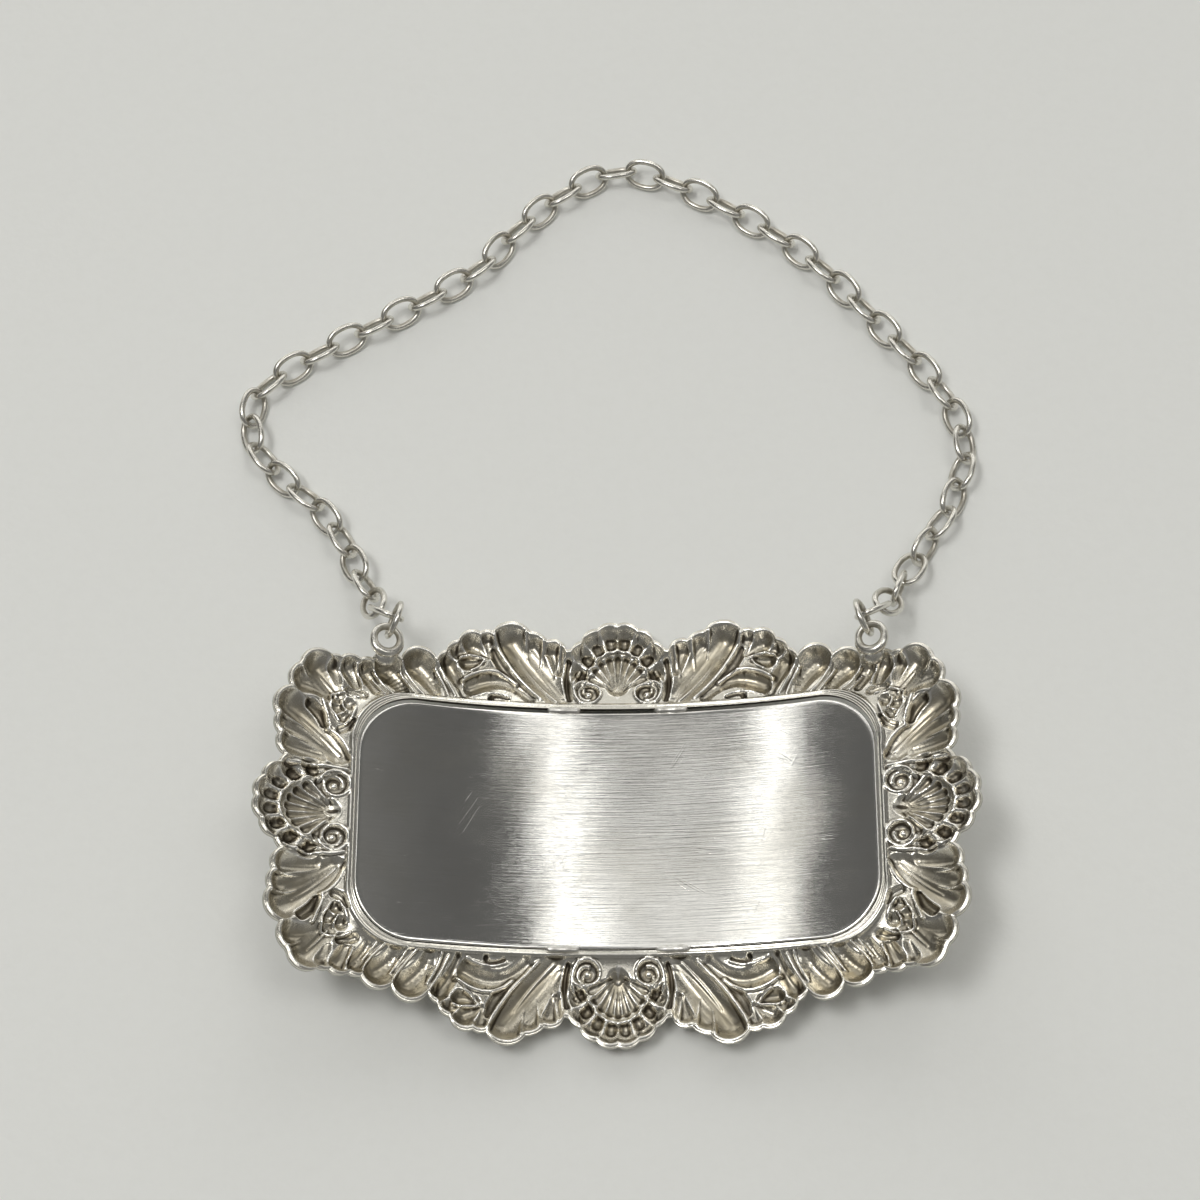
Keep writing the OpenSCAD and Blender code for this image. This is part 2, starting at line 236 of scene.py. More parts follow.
@dataclass(frozen=True)
class StampedFinish(Finish):
    """Stamped silver: bright on the ridges, as wear and as a painted highlight, yellow-grey tarnish in the
    hollows, grime and painted shade in the creases.
    """

    name: ClassVar[str] = Slot.STAMPED.value
    wear_and_highlight: Colour = (0.93, 0.91, 0.86)
    clean: Colour = (0.72, 0.695, 0.625)
    tarnish: Colour = (0.34, 0.295, 0.205)
    grime_and_shade: Colour = (0.075, 0.062, 0.045)
    bright_rough: float = 0.21
    dull_rough: float = 0.38
    patch_cells: float = 420
    dent_cells: float = 1400
    grain_cells: float = 5200
    bump: float = 0.00002

    def draw(self, g: Graph) -> None:
        """Tarnish follows the mesh's hollow values; grime with painted shade darkens its creases, and wear
        with a painted highlight brightens its ridges, all broken up by noise.

        Args:
            g: the material's graph.
        """
        patch = g.noise(self.patch_cells, 4.0, 0.6) - 0.5
        grain = g.noise(self.grain_cells, 3.0, 0.6)
        speck = grain - 0.5
        crease = g.attribute("crease")
        stain = (g.attribute("hollow") * 0.9 + patch * 0.9).ramp(0.08, 0.9)
        # painted shade with real grime: the creases, where the crease value is high, are tinted dark
        dirt_and_shade = (crease + speck * 0.35).ramp(0.18, 0.8)
        # wear with a painted highlight: the ridges, where the crease value is low, are tinted bright
        worn = (patch * 0.5 - crease).ramp(0.15, 0.75)
        colour = g.tint(worn * 0.85, g.tint(stain * 0.85, self.clean, self.tarnish), self.wear_and_highlight)
        colour = g.tint(dirt_and_shade * 0.95, colour, self.grime_and_shade)
        dull = stain * 0.6 + dirt_and_shade * 0.6 - worn * 0.4
        rough = self.bright_rough + dull * (self.dull_rough - self.bright_rough) + speck * 0.1
        height = grain * 0.5 + g.noise(self.dent_cells, 2.0) * 0.9
        g.finish({"Base Color": colour, "Metallic": 1.0, "Roughness": rough}, height, self.bump)


@dataclass(frozen=True)
class BrushedFinish(Finish):
    """Satin plate: fine brushing along its length, hairline scratches, faint stains, and painted shade on its
    edge in the slit.
    """

    name: ClassVar[str] = Slot.BRUSHED.value
    clean: Colour = (0.88, 0.87, 0.84)
    stain: Colour = (0.66, 0.64, 0.58)
    grime_and_shade: Colour = (0.05, 0.045, 0.04)
    rough: float = 0.12
    brush_cells: Triple = (150, 6500, 150)
    streak_cells: Triple = (55, 1700, 55)
    cloud_cells: Triple = (110, 130, 110)
    hairline_cells: Triple = (60, 900, 60)
    gate_cells: Triple = (190, 250, 190)
    hairlines: Tuple[Point, ...] = ((34.0, 0.012), (-58.0, 0.010), (8.0, 0.014))
    bump: float = 0.000008

    def scratches(self, g: Graph, turn: float, width: float) -> Socket:
        """Hairlines where a stretched noise crosses its middle value.

        Args:
            g: the material's graph.
            turn: direction of the hairlines in degrees.
            width: half width of the band round the middle value.

        Returns:
            1 on a hairline and 0 off it.
        """
        across = g.noise(self.hairline_cells, 1.0, turn=turn)
        gate = g.noise(self.gate_cells, 2.0, turn=turn).ramp(0.63, 0.72)
        return (1.0 - abs(across - 0.5).ramp(0.0, width)) * gate

    def draw(self, g: Graph) -> None:
        """Brushing is noise drawn out along X; hairlines cut through it at several angles.

        Args:
            g: the material's graph.
        """
        brush = g.noise(self.brush_cells, 4.0, 0.7)
        streak = g.noise(self.streak_cells, 3.0, 0.6)
        cloud = g.noise(self.cloud_cells, 3.0, 0.55)
        first, second, third = (self.scratches(g, *line) for line in self.hairlines)
        lines = first.most(second).most(third)
        worn = cloud.ramp(0.42, 0.75) * 0.5 + lines * 0.15 + (brush - 0.45).most(0.0) * 0.8
        colour = g.tint(worn.least(1.0), self.clean, self.stain)
        # painted shade: the edge rows down in the slit are tinted dark
        colour = g.tint(g.attribute("slit").ramp(0.55, 1.0), colour, self.grime_and_shade)
        rough = self.rough + (brush - 0.5) * 0.1 + (cloud - 0.5) * 0.16 - lines * 0.04
        height = brush + streak * 0.4 + cloud * 3.0 - lines * 0.3
        g.finish({"Base Color": colour, "Metallic": 1.0, "Roughness": rough}, height, self.bump)


@dataclass(frozen=True)
class WireFinish(Finish):
    """Drawn silver wire: polished outside, darker on the inside of each loop as painted shade, with real
    tarnish in patches.
    """

    name: ClassVar[str] = Slot.WIRE.value
    clean: Colour = (0.74, 0.72, 0.66)
    tarnish: Colour = (0.34, 0.31, 0.25)
    rough: float = 0.24
    patch_cells: float = 900
    grain_cells: float = 6500
    bump: float = 0.000012

    def draw(self, g: Graph) -> None:
        """The tarnish colour follows the wire's own shade value, which is high inside the bends, as painted
        shade, and noise patches, as real tarnish.

        Args:
            g: the material's graph.
        """
        patch = g.noise(self.patch_cells, 3.0, 0.6)
        grain = g.noise(self.grain_cells, 3.0, 0.6)
        # painted shade inside each loop, mixed with real tarnish patches
        shade = (g.attribute("shade") * 0.7 + (patch - 0.5) * 1.1).ramp(0.1, 0.9)
        colour = g.tint(shade * 0.8, self.clean, self.tarnish)
        rough = self.rough + shade * 0.16 + (grain - 0.5) * 0.1
        height = grain * 0.6 + patch
        g.finish({"Base Color": colour, "Metallic": 1.0, "Roughness": rough}, height, self.bump)


@dataclass(frozen=True)
class SolderFinish(Finish):
    """Silver solder: greyer and duller than the sheet, with a grainy skin."""

    name: ClassVar[str] = Slot.SOLDER.value
    light: Colour = (0.78, 0.77, 0.73)
    dark: Colour = (0.48, 0.46, 0.42)
    rough: float = 0.26
    patch_cells: float = 700
    grain_cells: float = 3200
    bump: float = 0.00003

    def draw(self, g: Graph) -> None:
        """Two sizes of noise give the grain of the skin.

        Args:
            g: the material's graph.
        """
        grain = g.noise(self.grain_cells, 4.0, 0.65)
        patch = g.noise(self.patch_cells, 2.0)
        colour = g.tint((grain * 0.6 + patch * 0.6).ramp(0.4, 0.9), self.light, self.dark)
        rough = self.rough + grain * 0.2
        g.finish({"Base Color": colour, "Metallic": 1.0, "Roughness": rough}, grain, self.bump)


@dataclass(frozen=True)
class TableFinish(Finish):
    """Pale matt card under the object."""

    name: ClassVar[str] = "table_card"
    colour: Colour = (0.85, 0.854, 0.825)
    fleck: Colour = (0.815, 0.817, 0.785)
    rough: float = 0.72
    gloss: float = 0.25
    fibre_cells: float = 900
    bump: float = 0.00003

    def draw(self, g: Graph) -> None:
        """A faint fibre grain on a flat pale ground.

        Args:
            g: the material's graph.
        """
        fibre = g.noise(self.fibre_cells, 5.0, 0.65)
        colour = g.tint(fibre.ramp(0.35, 0.8) * 0.35, self.colour, self.fleck)
        look = {"Base Color": colour, "Roughness": self.rough, "Specular IOR Level": self.gloss}
        g.finish(look, fibre, self.bump)


class Finishes:
    """Every finish of the object, made once."""

    def __init__(self) -> None:
        """Make the materials."""
        made = StampedFinish(), BrushedFinish(), WireFinish(), SolderFinish()
        self.by_slot: Dict[Slot, bpy.types.Material] = {Slot(f.name): f.material() for f in made}
        self.table = TableFinish().material()


@dataclass
class Surface:
    """A closed mesh of four-sided faces, flat caps and triangles, with numbers carried at its points."""

    points: Array
    quads: Array
    values: Dict[str, Array] = field(default_factory=dict)
    caps: Array = field(default_factory=lambda: np.zeros((0, 4), int))
    fans: Array = field(default_factory=lambda: np.zeros((0, 3), int))

    def joined(self, other: "Surface") -> "Surface":
        """This surface and another as one mesh.

        Args:
            other: the surface to add, with the same values.

        Returns:
            Both.
        """
        shift = len(self.points)
        return Surface(
            np.vstack([self.points, other.points]), np.vstack([self.quads, other.quads + shift]),
            {k: np.concatenate([v, other.values[k]]) for k, v in self.values.items()},
            np.vstack([self.caps, other.caps + shift]), np.vstack([self.fans, other.fans + shift]))

    def object(self, name: str, material: bpy.types.Material) -> bpy.types.Object:
        """Put the surface into a smooth-shaded Blender object, with its caps flat.

        Args:
            name: the object's name.
            material: its finish.

        Returns:
            The object, at the origin, with its place in its mesh.
        """
        mesh = bpy.data.meshes.new(name)
        faces = self.quads.tolist() + self.fans.tolist() + self.caps.tolist()
        mesh.from_pydata((self.points * MM).tolist(), [], faces)
        for key, value in self.values.items():
            mesh.attributes.new(key, "FLOAT", "POINT").data.foreach_set("value", value.astype(np.float32))
        mesh.polygons.foreach_set("use_smooth", np.arange(len(faces)) < len(faces) - len(self.caps))
        mesh.materials.append(material)
        mesh.update()
        if len(self.caps):
            ends = np.zeros(len(self.points), dtype=bool)
            ends[self.caps] = True
            pairs = np.empty(2 * len(mesh.edges), dtype=np.int32)
            mesh.edges.foreach_get("vertices", pairs)
            sharp = mesh.attributes.new("sharp_edge", "BOOLEAN", "EDGE")
            sharp.data.foreach_set("value", ends[pairs].reshape(-1, 2).all(1))
        made = bpy.data.objects.new(name, mesh)
        bpy.context.scene.collection.objects.link(made)
        return made


@dataclass
class Piece:
    """A finished surface, and what it stands for in the frame."""

    name: str
    surface: Surface
    slot: Slot
    body: str
    node: str

    def dress(self, finishes: Finishes) -> None:
        """Give the piece its finish, let it ride on its body in place of its CAD node, and report it.

        Args:
            finishes: every finish of the object.
        """
        made = self.surface.object(self.name, finishes.by_slot[self.slot])
        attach(made, self.body)
        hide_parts(self.node)
        LOG.info("%s: %d faces, rides on %s", made.name, len(made.data.polygons), self.body)


class Assembly:
    """A sub-assembly, which builds its pieces and dresses them."""

    def build(self) -> List[Piece]:
        """Build the pieces."""
        raise NotImplementedError

    def dress(self, finishes: Finishes) -> None:
        """Build every piece and put it in place of its CAD node."""
        for piece in self.build():
            piece.dress(finishes)


def grid_quads(columns: int, rows: int, round_columns: bool = True, round_rows: bool = True) -> Array:
    """Faces of a grid of points that are numbered column by column.

    Args:
        columns: points the long way.
        rows: points the short way.
        round_columns: whether the last column joins the first.
        round_rows: whether the last row joins the first.

    Returns:
        Four point numbers a face.
    """
    wide, high = columns - (not round_columns), rows - (not round_rows)
    c, r = np.meshgrid(np.arange(wide), np.arange(high), indexing="ij")
    c2, r2 = (c + 1) % columns, (r + 1) % rows
    return np.stack([c * rows + r, c2 * rows + r, c2 * rows + r2, c * rows + r2], -1).reshape(-1, 4)


def bent(flat: Array, height: Array) -> Array:
    """Wrap flat points round the bottle.

    X is (radius - height) times the sine of x over radius, Y stays, and Z is radius less (radius - height)
    times the cosine.

    Args:
        flat: points of the flat pattern.
        height: height over the plate's back, at each point.

    Returns:
        Points in space.
    """
    turn, reach = flat[..., 0] / BOTTLE_RADIUS, BOTTLE_RADIUS - height
    return np.stack([reach * np.sin(turn), flat[..., 1], BOTTLE_RADIUS - reach * np.cos(turn)], -1)


def kept_inside(points: Array, node: str) -> Array:
    """Points in millimetres, kept inside the box of a CAD node."""
    low, high = (np.array(corner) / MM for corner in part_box(node))
    return np.clip(points, low, high)


def unit(ways: Array) -> Array:
    """Directions at length 1."""
    return ways / np.linalg.norm(ways, axis=1, keepdims=True)


def tube(path: Array, first: Array, second: Array, radius: Array, sides: int) -> Array:
    """Rings of points round a path.

    Each point is the path's point plus radius times (cosine of phi along first, sine along second).

    Args:
        path: points of the path.
        first: direction square to the path, at each point.
        second: direction square to both, at each point.
        radius: radius at each point.
        sides: points round the path.

    Returns:
        Points, ring by ring.
    """
    phi = np.linspace(0, 2 * np.pi, sides, endpoint=False)
    ring = np.cos(phi)[None, :, None] * first[:, None] + np.sin(phi)[None, :, None] * second[:, None]
    return (path[:, None] + radius[:, None, None] * ring).reshape(-1, 3)


def wire_loop(path: Array, out: Array, across: Array, radius: Array, sides: int) -> Surface:
    """Round wire along a closed path, with a shade value of 1 inside the loop and 0 outside.

    Args:
        path: points of the path.
        out: unit direction away from the loop's middle, at each point.
        across: unit direction square to the path and to out, at each point.
        radius: wire radius at each point.
        sides: points round the wire.

    Returns:
        The wire.
    """
    shade = 0.5 - 0.5 * np.cos(np.linspace(0, 2 * np.pi, sides, endpoint=False))
    points = tube(path, out, across, radius, sides)
    return Surface(points, grid_quads(len(path), sides), {"shade": np.tile(shade, len(path))})


def rod(path: Array, radius: Array, sides: int, wide: float = 1.0, shade: float = 0.4) -> Surface:
    """Round or oval rod along an open path, closed by fans at both ends.

    Args:
        path: points of the path.
        radius: rod radius at each point.
        sides: points round the rod.
        wide: width of its section over its height.
        shade: its shade value.

    Returns:
        The rod.
    """
    along = unit(np.gradient(path, axis=0))
    helper = np.eye(3)[np.argmin(np.abs(along.mean(0)))]
    first = unit(np.cross(along, helper))
    points = tube(path, first, wide * np.cross(along, first), radius, sides)
    count, last = len(points), (len(path) - 1) * sides
    turn = np.arange(sides)
    near = np.stack([np.full(sides, count), (turn + 1) % sides, turn], -1)
    far = np.stack([np.full(sides, count + 1), last + turn, last + (turn + 1) % sides], -1)
    points = np.vstack([points, path[:1], path[-1:]])
    quads = grid_quads(len(path), sides, round_columns=False)[:, ::-1]
    return Surface(points, quads, {"shade": np.full(count + 2, shade)}, fans=np.vstack([near, far]))


class Quarter(Enum):
    """The four quarters of the border, as the signs that mirror the first one into them."""

    TOP_RIGHT = (1, 1)
    BOTTOM_RIGHT = (1, -1)
    BOTTOM_LEFT = (-1, -1)
    TOP_LEFT = (-1, 1)


@dataclass(frozen=True)
class Flow:
    """A stamped line of the pattern, hollow or raised, that flows from a root round a bend to a tip."""

    root: Point
    bend: Point
    tip: Point
    radii: Point
    depths: Point
    cuts: int = 7

    @classmethod
    def straight(cls, a: Point, b: Point, radii: Point, depths: Point, cuts: int = 1) -> "Flow":
        """A line that bends nowhere."""
        return cls(a, tuple((p + q) / 2 for p, q in zip(a, b)), b, radii, depths, cuts)

    @classmethod
    def chain(cls, line: Sequence[Point], radius: float, depth: float) -> List["Flow"]:
        """Straight lines of one size from point to point."""
        size, deep = (radius, radius), (depth, depth)
        return [cls.straight(a, b, size, deep) for a, b in zip(line[:-1], line[1:])]

    def lobes(self) -> Array:
        """Short tapered lobes along the line, a quadratic curve of root, bend and tip.

        Returns:
            One lobe a row: both ends, both radii and both depths.
        """
        u = np.linspace(0, 1, self.cuts + 1)[:, None]
        root, bend, tip = np.array(self.root), np.array(self.bend), np.array(self.tip)
        line = (1 - u) ** 2 * root + 2 * u * (1 - u) * bend + u ** 2 * tip
        size = self.radii[0] + (self.radii[1] - self.radii[0]) * u
        deep = self.depths[0] + (self.depths[1] - self.depths[0]) * u
        return np.hstack([line[:-1], line[1:], size[:-1], size[1:], deep[:-1], deep[1:]])


class Groove(NamedTuple):
    """A hollow along a direction of a fan: its ends as shares of the fan, and its radii and depths there."""

    shares: Point
    radii: Point
    depths: Point


@dataclass(frozen=True)
class Shell:
    """Half a scallop shell: scallops round a shallow dish that holds a row of beads and a fan of flutes."""

    middle: Point
    out: Point
    wide: Point
    scallops: int = 4
    scallop_step: float = 19.5
    flutes: int = 5
    flute_step: float = 16.5
    scallop: Groove = Groove((0.8, 0.9), (0.8, 1.0), (0.45, 0.55))
    heart: Groove = Groove((0.1, 0.3), (1.0, 1.3), (0.62, 0.5))
    floor: Groove = Groove((0.46, 0.5), (2.3, 2.3), (0.5, 0.5))
    bead: Groove = Groove((0.78, 0.84), (0.46, 0.50), (0.15, 0.16))
    flute: Groove = Groove((0.14, 0.57), (0.12, 0.40), (0.08, 0.20))
    lip_points: int = 9
    lip_step: float = 11.0
    lip_share: float = 0.71
    lip_radius: float = 0.16
    lip_height: float = 0.24

    def at(self, turn: float, share: float) -> Point:
        """Point of the fan: middle plus a share of out times the cosine and wide times the sine of a turn."""
        c, s = share * math.cos(math.radians(turn)), share * math.sin(math.radians(turn))
        return tuple(m + c * o + s * w for m, o, w in zip(self.middle, self.out, self.wide))

    def cut(self, turn: float, groove: Groove) -> Flow:
        """A hollow along one direction of the fan."""
        a, b = (self.at(turn, share) for share in groove.shares)
        return Flow.straight(a, b, groove.radii, groove.depths, 2)

    def to_each_scallop(self, groove: Groove) -> List[Flow]:
        """A hollow in the middle of each scallop."""
        return [self.cut((k + 0.5) * self.scallop_step, groove) for k in range(self.scallops)]

    def flows(self) -> List[Flow]:
        """Broad hollows of the shell: its scallops, its heart and the dish under them."""
        return self.to_each_scallop(self.scallop) + [self.cut(0, self.heart), self.cut(0, self.floor)]

    def details(self) -> List[Flow]:
        """Crisp hollows in the dish: a bead to each scallop, and flutes with round ends."""
        flutes = [self.cut(k * self.flute_step, self.flute) for k in range(self.flutes)]
        return self.to_each_scallop(self.bead) + flutes

    def edges(self) -> List[Flow]:
        """The raised lip between the beads and the flutes, in short lines."""
        line = [self.at(k * self.lip_step, self.lip_share) for k in range(self.lip_points)]
        return Flow.chain(line, self.lip_radius, self.lip_height)


@dataclass(frozen=True)
class Volute:
    """A scroll of the shell's foot: a round hollow with a knob, inside a raised band that winds round it."""

    middle: Point
    start: float
    sign: float
    size: float = 0.98
    depth: float = 0.3
    turns: float = 1.5
    band_points: int = 25
    band_start: float = 1.34
    band_fall: float = 0.5
    band_radius: float = 0.17
    band_height: float = 0.3
    knob_radius: float = 0.36
    knob_height: float = 0.4

    def ring(self, turns: float) -> Point:
        """Point of the spiral: its radius falls evenly from its start with the turns made."""
        radius = self.size * (self.band_start - self.band_fall * turns)
        angle = math.radians(self.start) + self.sign * 2 * math.pi * turns
        return (self.middle[0] + radius * math.cos(angle), self.middle[1] + radius * math.sin(angle))

    def details(self) -> List[Flow]:
        """The round hollow."""
        return Flow.chain([self.middle, self.middle], self.size, self.depth)

    def edges(self) -> List[Flow]:
        """The band and the knob."""
        band = [self.ring(u) for u in np.linspace(0, self.turns, self.band_points)]
        knob = Flow.chain([self.middle, self.middle], self.knob_radius, self.knob_height)
        return Flow.chain(band, self.band_radius, self.band_height) + knob


@dataclass
class Border(Assembly):
    """The stamped border: shells, leaves, flowers and gadroons as hollows in thin sheet, in four quarters.

    A row of leaves or reeds holds a flow's root, bend and tip, its two radii, and its two depths or heights.
    """

    node: ClassVar[str] = "border_frame"
    open_x: float = 21.45
    open_y: float = 10.45
    open_r: float = 5.0
    proud: float = 0.15
    sheet: float = 0.45
    relief: float = 1.75
    least_depth: float = 0.02
    fillet: float = 0.3
    fillet_depth: float = 0.03
    ribs: int = 3
    rib_depth: float = 0.035
    ease: float = 0.28
    rim: float = 0.28
    rim_depth: float = 0.1
    lip_start: float = 0.05
    lip_width: float = 0.5
    dish: float = 0.45
    dish_power: float = 0.6
    bowl: float = 0.5
    bowl_power: float = 1.25
    raise_by: float = 0.42
    raise_power: float = 1.0
    crisp_power: float = 0.6
    corner_weight: float = 2.2
    rays: int = 520
    steps: int = 90
    fillet_steps: int = 14
    rim_shares: Tuple[float, ...] = (0.75, 0.4, 0.12, 0.0)
    crease_reach: Tuple[int, int] = (3, 2)
    crease_depth: float = 0.1
    front_tarnish: float = 0.35
    slit_step: float = 0.5
    slit_shares: Point = (0.85, 0.15)
    leaves: ClassVar[Tuple[Tuple[float, ...], ...]] = (
        (3.95, 11.5, 4.4, 13.0, 4.0, 14.9, 0.3, 0.36, 0.5, 0.55),
        (4.9, 11.4, 6.6, 13.4, 8.75, 16.5, 0.9, 1.5, 0.5, 0.9),
        (4.8, 12.0, 5.8, 13.8, 7.3, 15.6, 0.8, 1.6, 0.45, 0.75),
        (4.9, 14.2, 5.1, 15.1, 5.35, 15.7, 0.7, 0.85, 0.5, 0.7),
        (6.3, 15.1, 6.6, 15.8, 6.95, 16.2, 0.7, 0.85, 0.6, 0.75),
        (8.0, 12.4, 9.5, 14.0, 10.3, 15.7, 0.4, 0.55, 0.35, 0.5),
        (10.9, 15.2, 11.3, 15.7, 11.95, 16.0, 0.5, 1.0, 0.45, 0.8),
        (10.6, 15.3, 10.6, 16.0, 10.75, 16.4, 0.45, 0.7, 0.35, 0.6),
        (11.2, 14.7, 11.8, 14.5, 12.4, 14.5, 0.5, 0.8, 0.45, 0.75),
        (12.6, 15.2, 13.0, 15.5, 13.2, 15.2, 0.5, 0.7, 0.4, 0.6),
        (7.2, 11.5, 9.4, 14.0, 12.0, 12.2, 0.6, 1.0, 0.4, 0.8),
        (9.0, 11.3, 10.2, 11.8, 10.4, 11.2, 0.25, 0.3, 0.3, 0.4),
        (12.6, 11.3, 12.9, 12.8, 13.9, 14.1, 0.4, 0.85, 0.35, 0.8),
        (14.9, 11.1, 15.2, 12.5, 16.4, 13.72, 0.5, 1.3, 0.3, 0.95),
        (17.6, 10.9, 17.9, 12.1, 19.0, 13.0, 0.5, 1.25, 0.3, 0.9),
        (19.9, 10.9, 20.2, 11.8, 20.75, 12.5, 0.45, 0.9, 0.3, 0.75),
        (21.5, 11.2, 21.8, 12.0, 22.2, 12.55, 0.6, 0.9, 0.45, 0.7),
        (23.1, 11.2, 23.3, 11.9, 23.5, 12.35, 0.5, 0.85, 0.4, 0.65),
        (22.9, 9.8, 23.9, 11.2, 24.85, 12.1, 0.7, 1.35, 0.5, 0.85),
        (23.9, 10.3, 24.6, 10.9, 25.0, 11.4, 0.9, 1.5, 0.5, 0.75),
        (24.2, 10.3, 25.1, 10.8, 25.9, 10.85, 0.7, 1.2, 0.5, 0.8),
        (22.1, 9.4, 22.1, 9.4, 22.1, 9.4, 0.65, 0.65, 0.5, 0.5),
        (23.0, 9.0, 23.0, 9.0, 23.0, 9.0, 0.7, 0.7, 0.55, 0.55),
        (22.5, 8.15, 22.5, 8.15, 22.5, 8.15, 0.6, 0.6, 0.5, 0.5),
        (20.9, 10.4, 21.4, 10.7, 22.0, 10.6, 0.45, 0.55, 0.45, 0.5),
        (24.0, 7.4, 24.4, 8.3, 25.2, 8.9, 0.5, 0.65, 0.8, 0.75),
        (21.7, 7.8, 22.1, 7.2, 22.7, 7.0, 0.4, 0.45, 0.4, 0.45),
        (22.5, 4.7, 24.0, 6.8, 26.9, 8.35, 0.8, 1.4, 0.5, 0.85),
        (22.9, 4.7, 24.4, 5.9, 26.3, 6.8, 0.8, 1.7, 0.45, 0.7),
        (25.6, 6.3, 26.4, 6.6, 27.1, 6.75, 0.9, 1.05, 0.65, 0.75),
        (24.2, 4.8, 25.6, 5.0, 26.9, 5.15, 0.8, 1.0, 0.5, 0.7))
    reeds: ClassVar[Tuple[Tuple[float, ...], ...]] = (
        (3.1, 11.2, 4.2, 12.8, 3.1, 14.2, 0.2, 0.2, 0.35, 0.3),
        (5.0, 11.4, 6.9, 13.3, 8.0, 15.2, 0.16, 0.12, 0.22, 0.06),
        (4.75, 16.3, 4.75, 15.0, 5.1, 13.6, 0.16, 0.1, 0.35, 0.05),
        (6.15, 16.9, 6.15, 15.6, 6.3, 14.3, 0.16, 0.1, 0.35, 0.05),
        (7.65, 17.4, 7.5, 16.4, 7.3, 15.2, 0.14, 0.1, 0.3, 0.05),
        (22.6, 4.8, 24.2, 6.7, 25.8, 7.7, 0.16, 0.12, 0.22, 0.06),
        (28.3, 7.6, 27.0, 7.6, 25.6, 7.0, 0.16, 0.1, 0.35, 0.05),
        (28.1, 5.95, 26.8, 6.0, 25.2, 5.7, 0.16, 0.1, 0.35, 0.05),
        (23.0, 10.0, 23.7, 11.0, 24.4, 11.7, 0.16, 0.12, 0.25, 0.06),
        (26.4, 11.9, 25.8, 11.6, 25.0, 11.1, 0.14, 0.1, 0.3, 0.05),
        (6.3, 11.4, 8.7, 13.5, 10.2, 16.9, 0.2, 0.26, 0.25, 0.4),
        (8.3, 12.8, 10.1, 14.9, 12.7, 12.9, 0.2, 0.22, 0.35, 0.4),
        (8.9, 11.5, 10.6, 12.1, 11.9, 11.3, 0.14, 0.14, 0.22, 0.22),
        (10.8, 15.0, 11.8, 15.3, 12.9, 15.0, 0.16, 0.16, 0.3, 0.3),
        (10.9, 15.0, 11.2, 14.3, 12.0, 13.8, 0.16, 0.16, 0.3, 0.3),
        (13.35, 11.2, 13.9, 12.5, 14.8, 14.1, 0.13, 0.13, 0.3, 0.3),
        (13.95, 11.1, 14.2, 12.3, 15.0, 13.5, 0.13, 0.13, 0.3, 0.3),
        (16.0, 11.0, 16.9, 12.0, 17.8, 13.7, 0.13, 0.13, 0.3, 0.3),
        (16.7, 10.9, 17.2, 11.9, 17.9, 12.9, 0.13, 0.13, 0.3, 0.3),
        (18.6, 10.8, 19.4, 11.5, 20.1, 12.7, 0.13, 0.13, 0.3, 0.3),
        (19.2, 10.7, 19.7, 11.4, 20.1, 12.0, 0.12, 0.12, 0.25, 0.25),
        (21.0, 11.2, 21.2, 12.0, 21.6, 13.0, 0.14, 0.14, 0.3, 0.3),
        (21.3, 10.1, 22.3, 10.7, 23.4, 10.2, 0.15, 0.15, 0.32, 0.32),
        (23.5, 10.1, 23.8, 9.0, 22.9, 7.8, 0.15, 0.15, 0.32, 0.3),
        (21.6, 9.2, 21.7, 8.4, 22.3, 7.6, 0.15, 0.15, 0.3, 0.3),
        (22.6, 9.7, 22.6, 9.1, 22.3, 8.7, 0.13, 0.13, 0.3, 0.25),
        (21.9, 4.6, 22.5, 6.4, 23.7, 7.0, 0.18, 0.2, 0.3, 0.3),
        (22.2, 3.5, 24.2, 4.0, 27.0, 3.5, 0.2, 0.22, 0.4, 0.35),
        (23.6, 6.9, 23.9, 8.6, 24.3, 9.5, 0.18, 0.2, 0.35, 0.35))

    @staticmethod
    def lobes(flows: Sequence[Flow], rows: Sequence[Sequence[float]] = ()) -> Array:
        """Lobes of some flows and of the flows that rows of numbers give."""
        drawn = [Flow(r[0:2], r[2:4], r[4:6], r[6:8], r[8:10]) for r in rows]
        return np.vstack([flow.lobes() for flow in [*flows, *drawn]])

    def shells(self) -> List[Shell]:
        """The shells at the middle of the top and of the side."""
        return [
            Shell(middle=(0, self.open_y + 1.75), out=(0, 5.55), wide=(3.9, 0)),
            Shell(middle=(self.open_x + 1.3, 0), out=(6.65, 0), wide=(0, 4.3))]

    def volutes(self) -> List[Volute]:
        """The scrolls at the shells' feet."""
        return [
            Volute(middle=(2.4, self.open_y + 1.7), start=80, sign=-1),
            Volute(middle=(self.open_x + 1.5, 2.2), start=10, sign=1)]

    def hollows(self) -> Array:
        """Every broad hollow of one quarter."""
        return self.lobes([f for s in self.shells() for f in s.flows()], self.leaves)

    def details(self) -> Array:
        """Every crisp hollow of one quarter."""
        return self.lobes([f for s in self.shells() + self.volutes() for f in s.details()])

    def edges(self) -> Array:
        """Every raised edge of one quarter."""
        return self.lobes([f for s in self.shells() + self.volutes() for f in s.edges()], self.reeds)

    def ground(self) -> Array:
        """Outline of the ground between the motifs, in one quarter."""
        x, y = self.open_x, self.open_y
        return np.array([
            (0, y + 6.55), (4.6, y + 5.35), (9, y + 6.15), (x - 7.65, y + 4.55), (x - 5.45, y + 3.4),
            (x + 0.55, y + 2.55), (x + 4.55, y + 1.15), (x + 6.15, y - 2.45), (x + 5.65, y - 6.25),
            (x + 7.05, 0)])

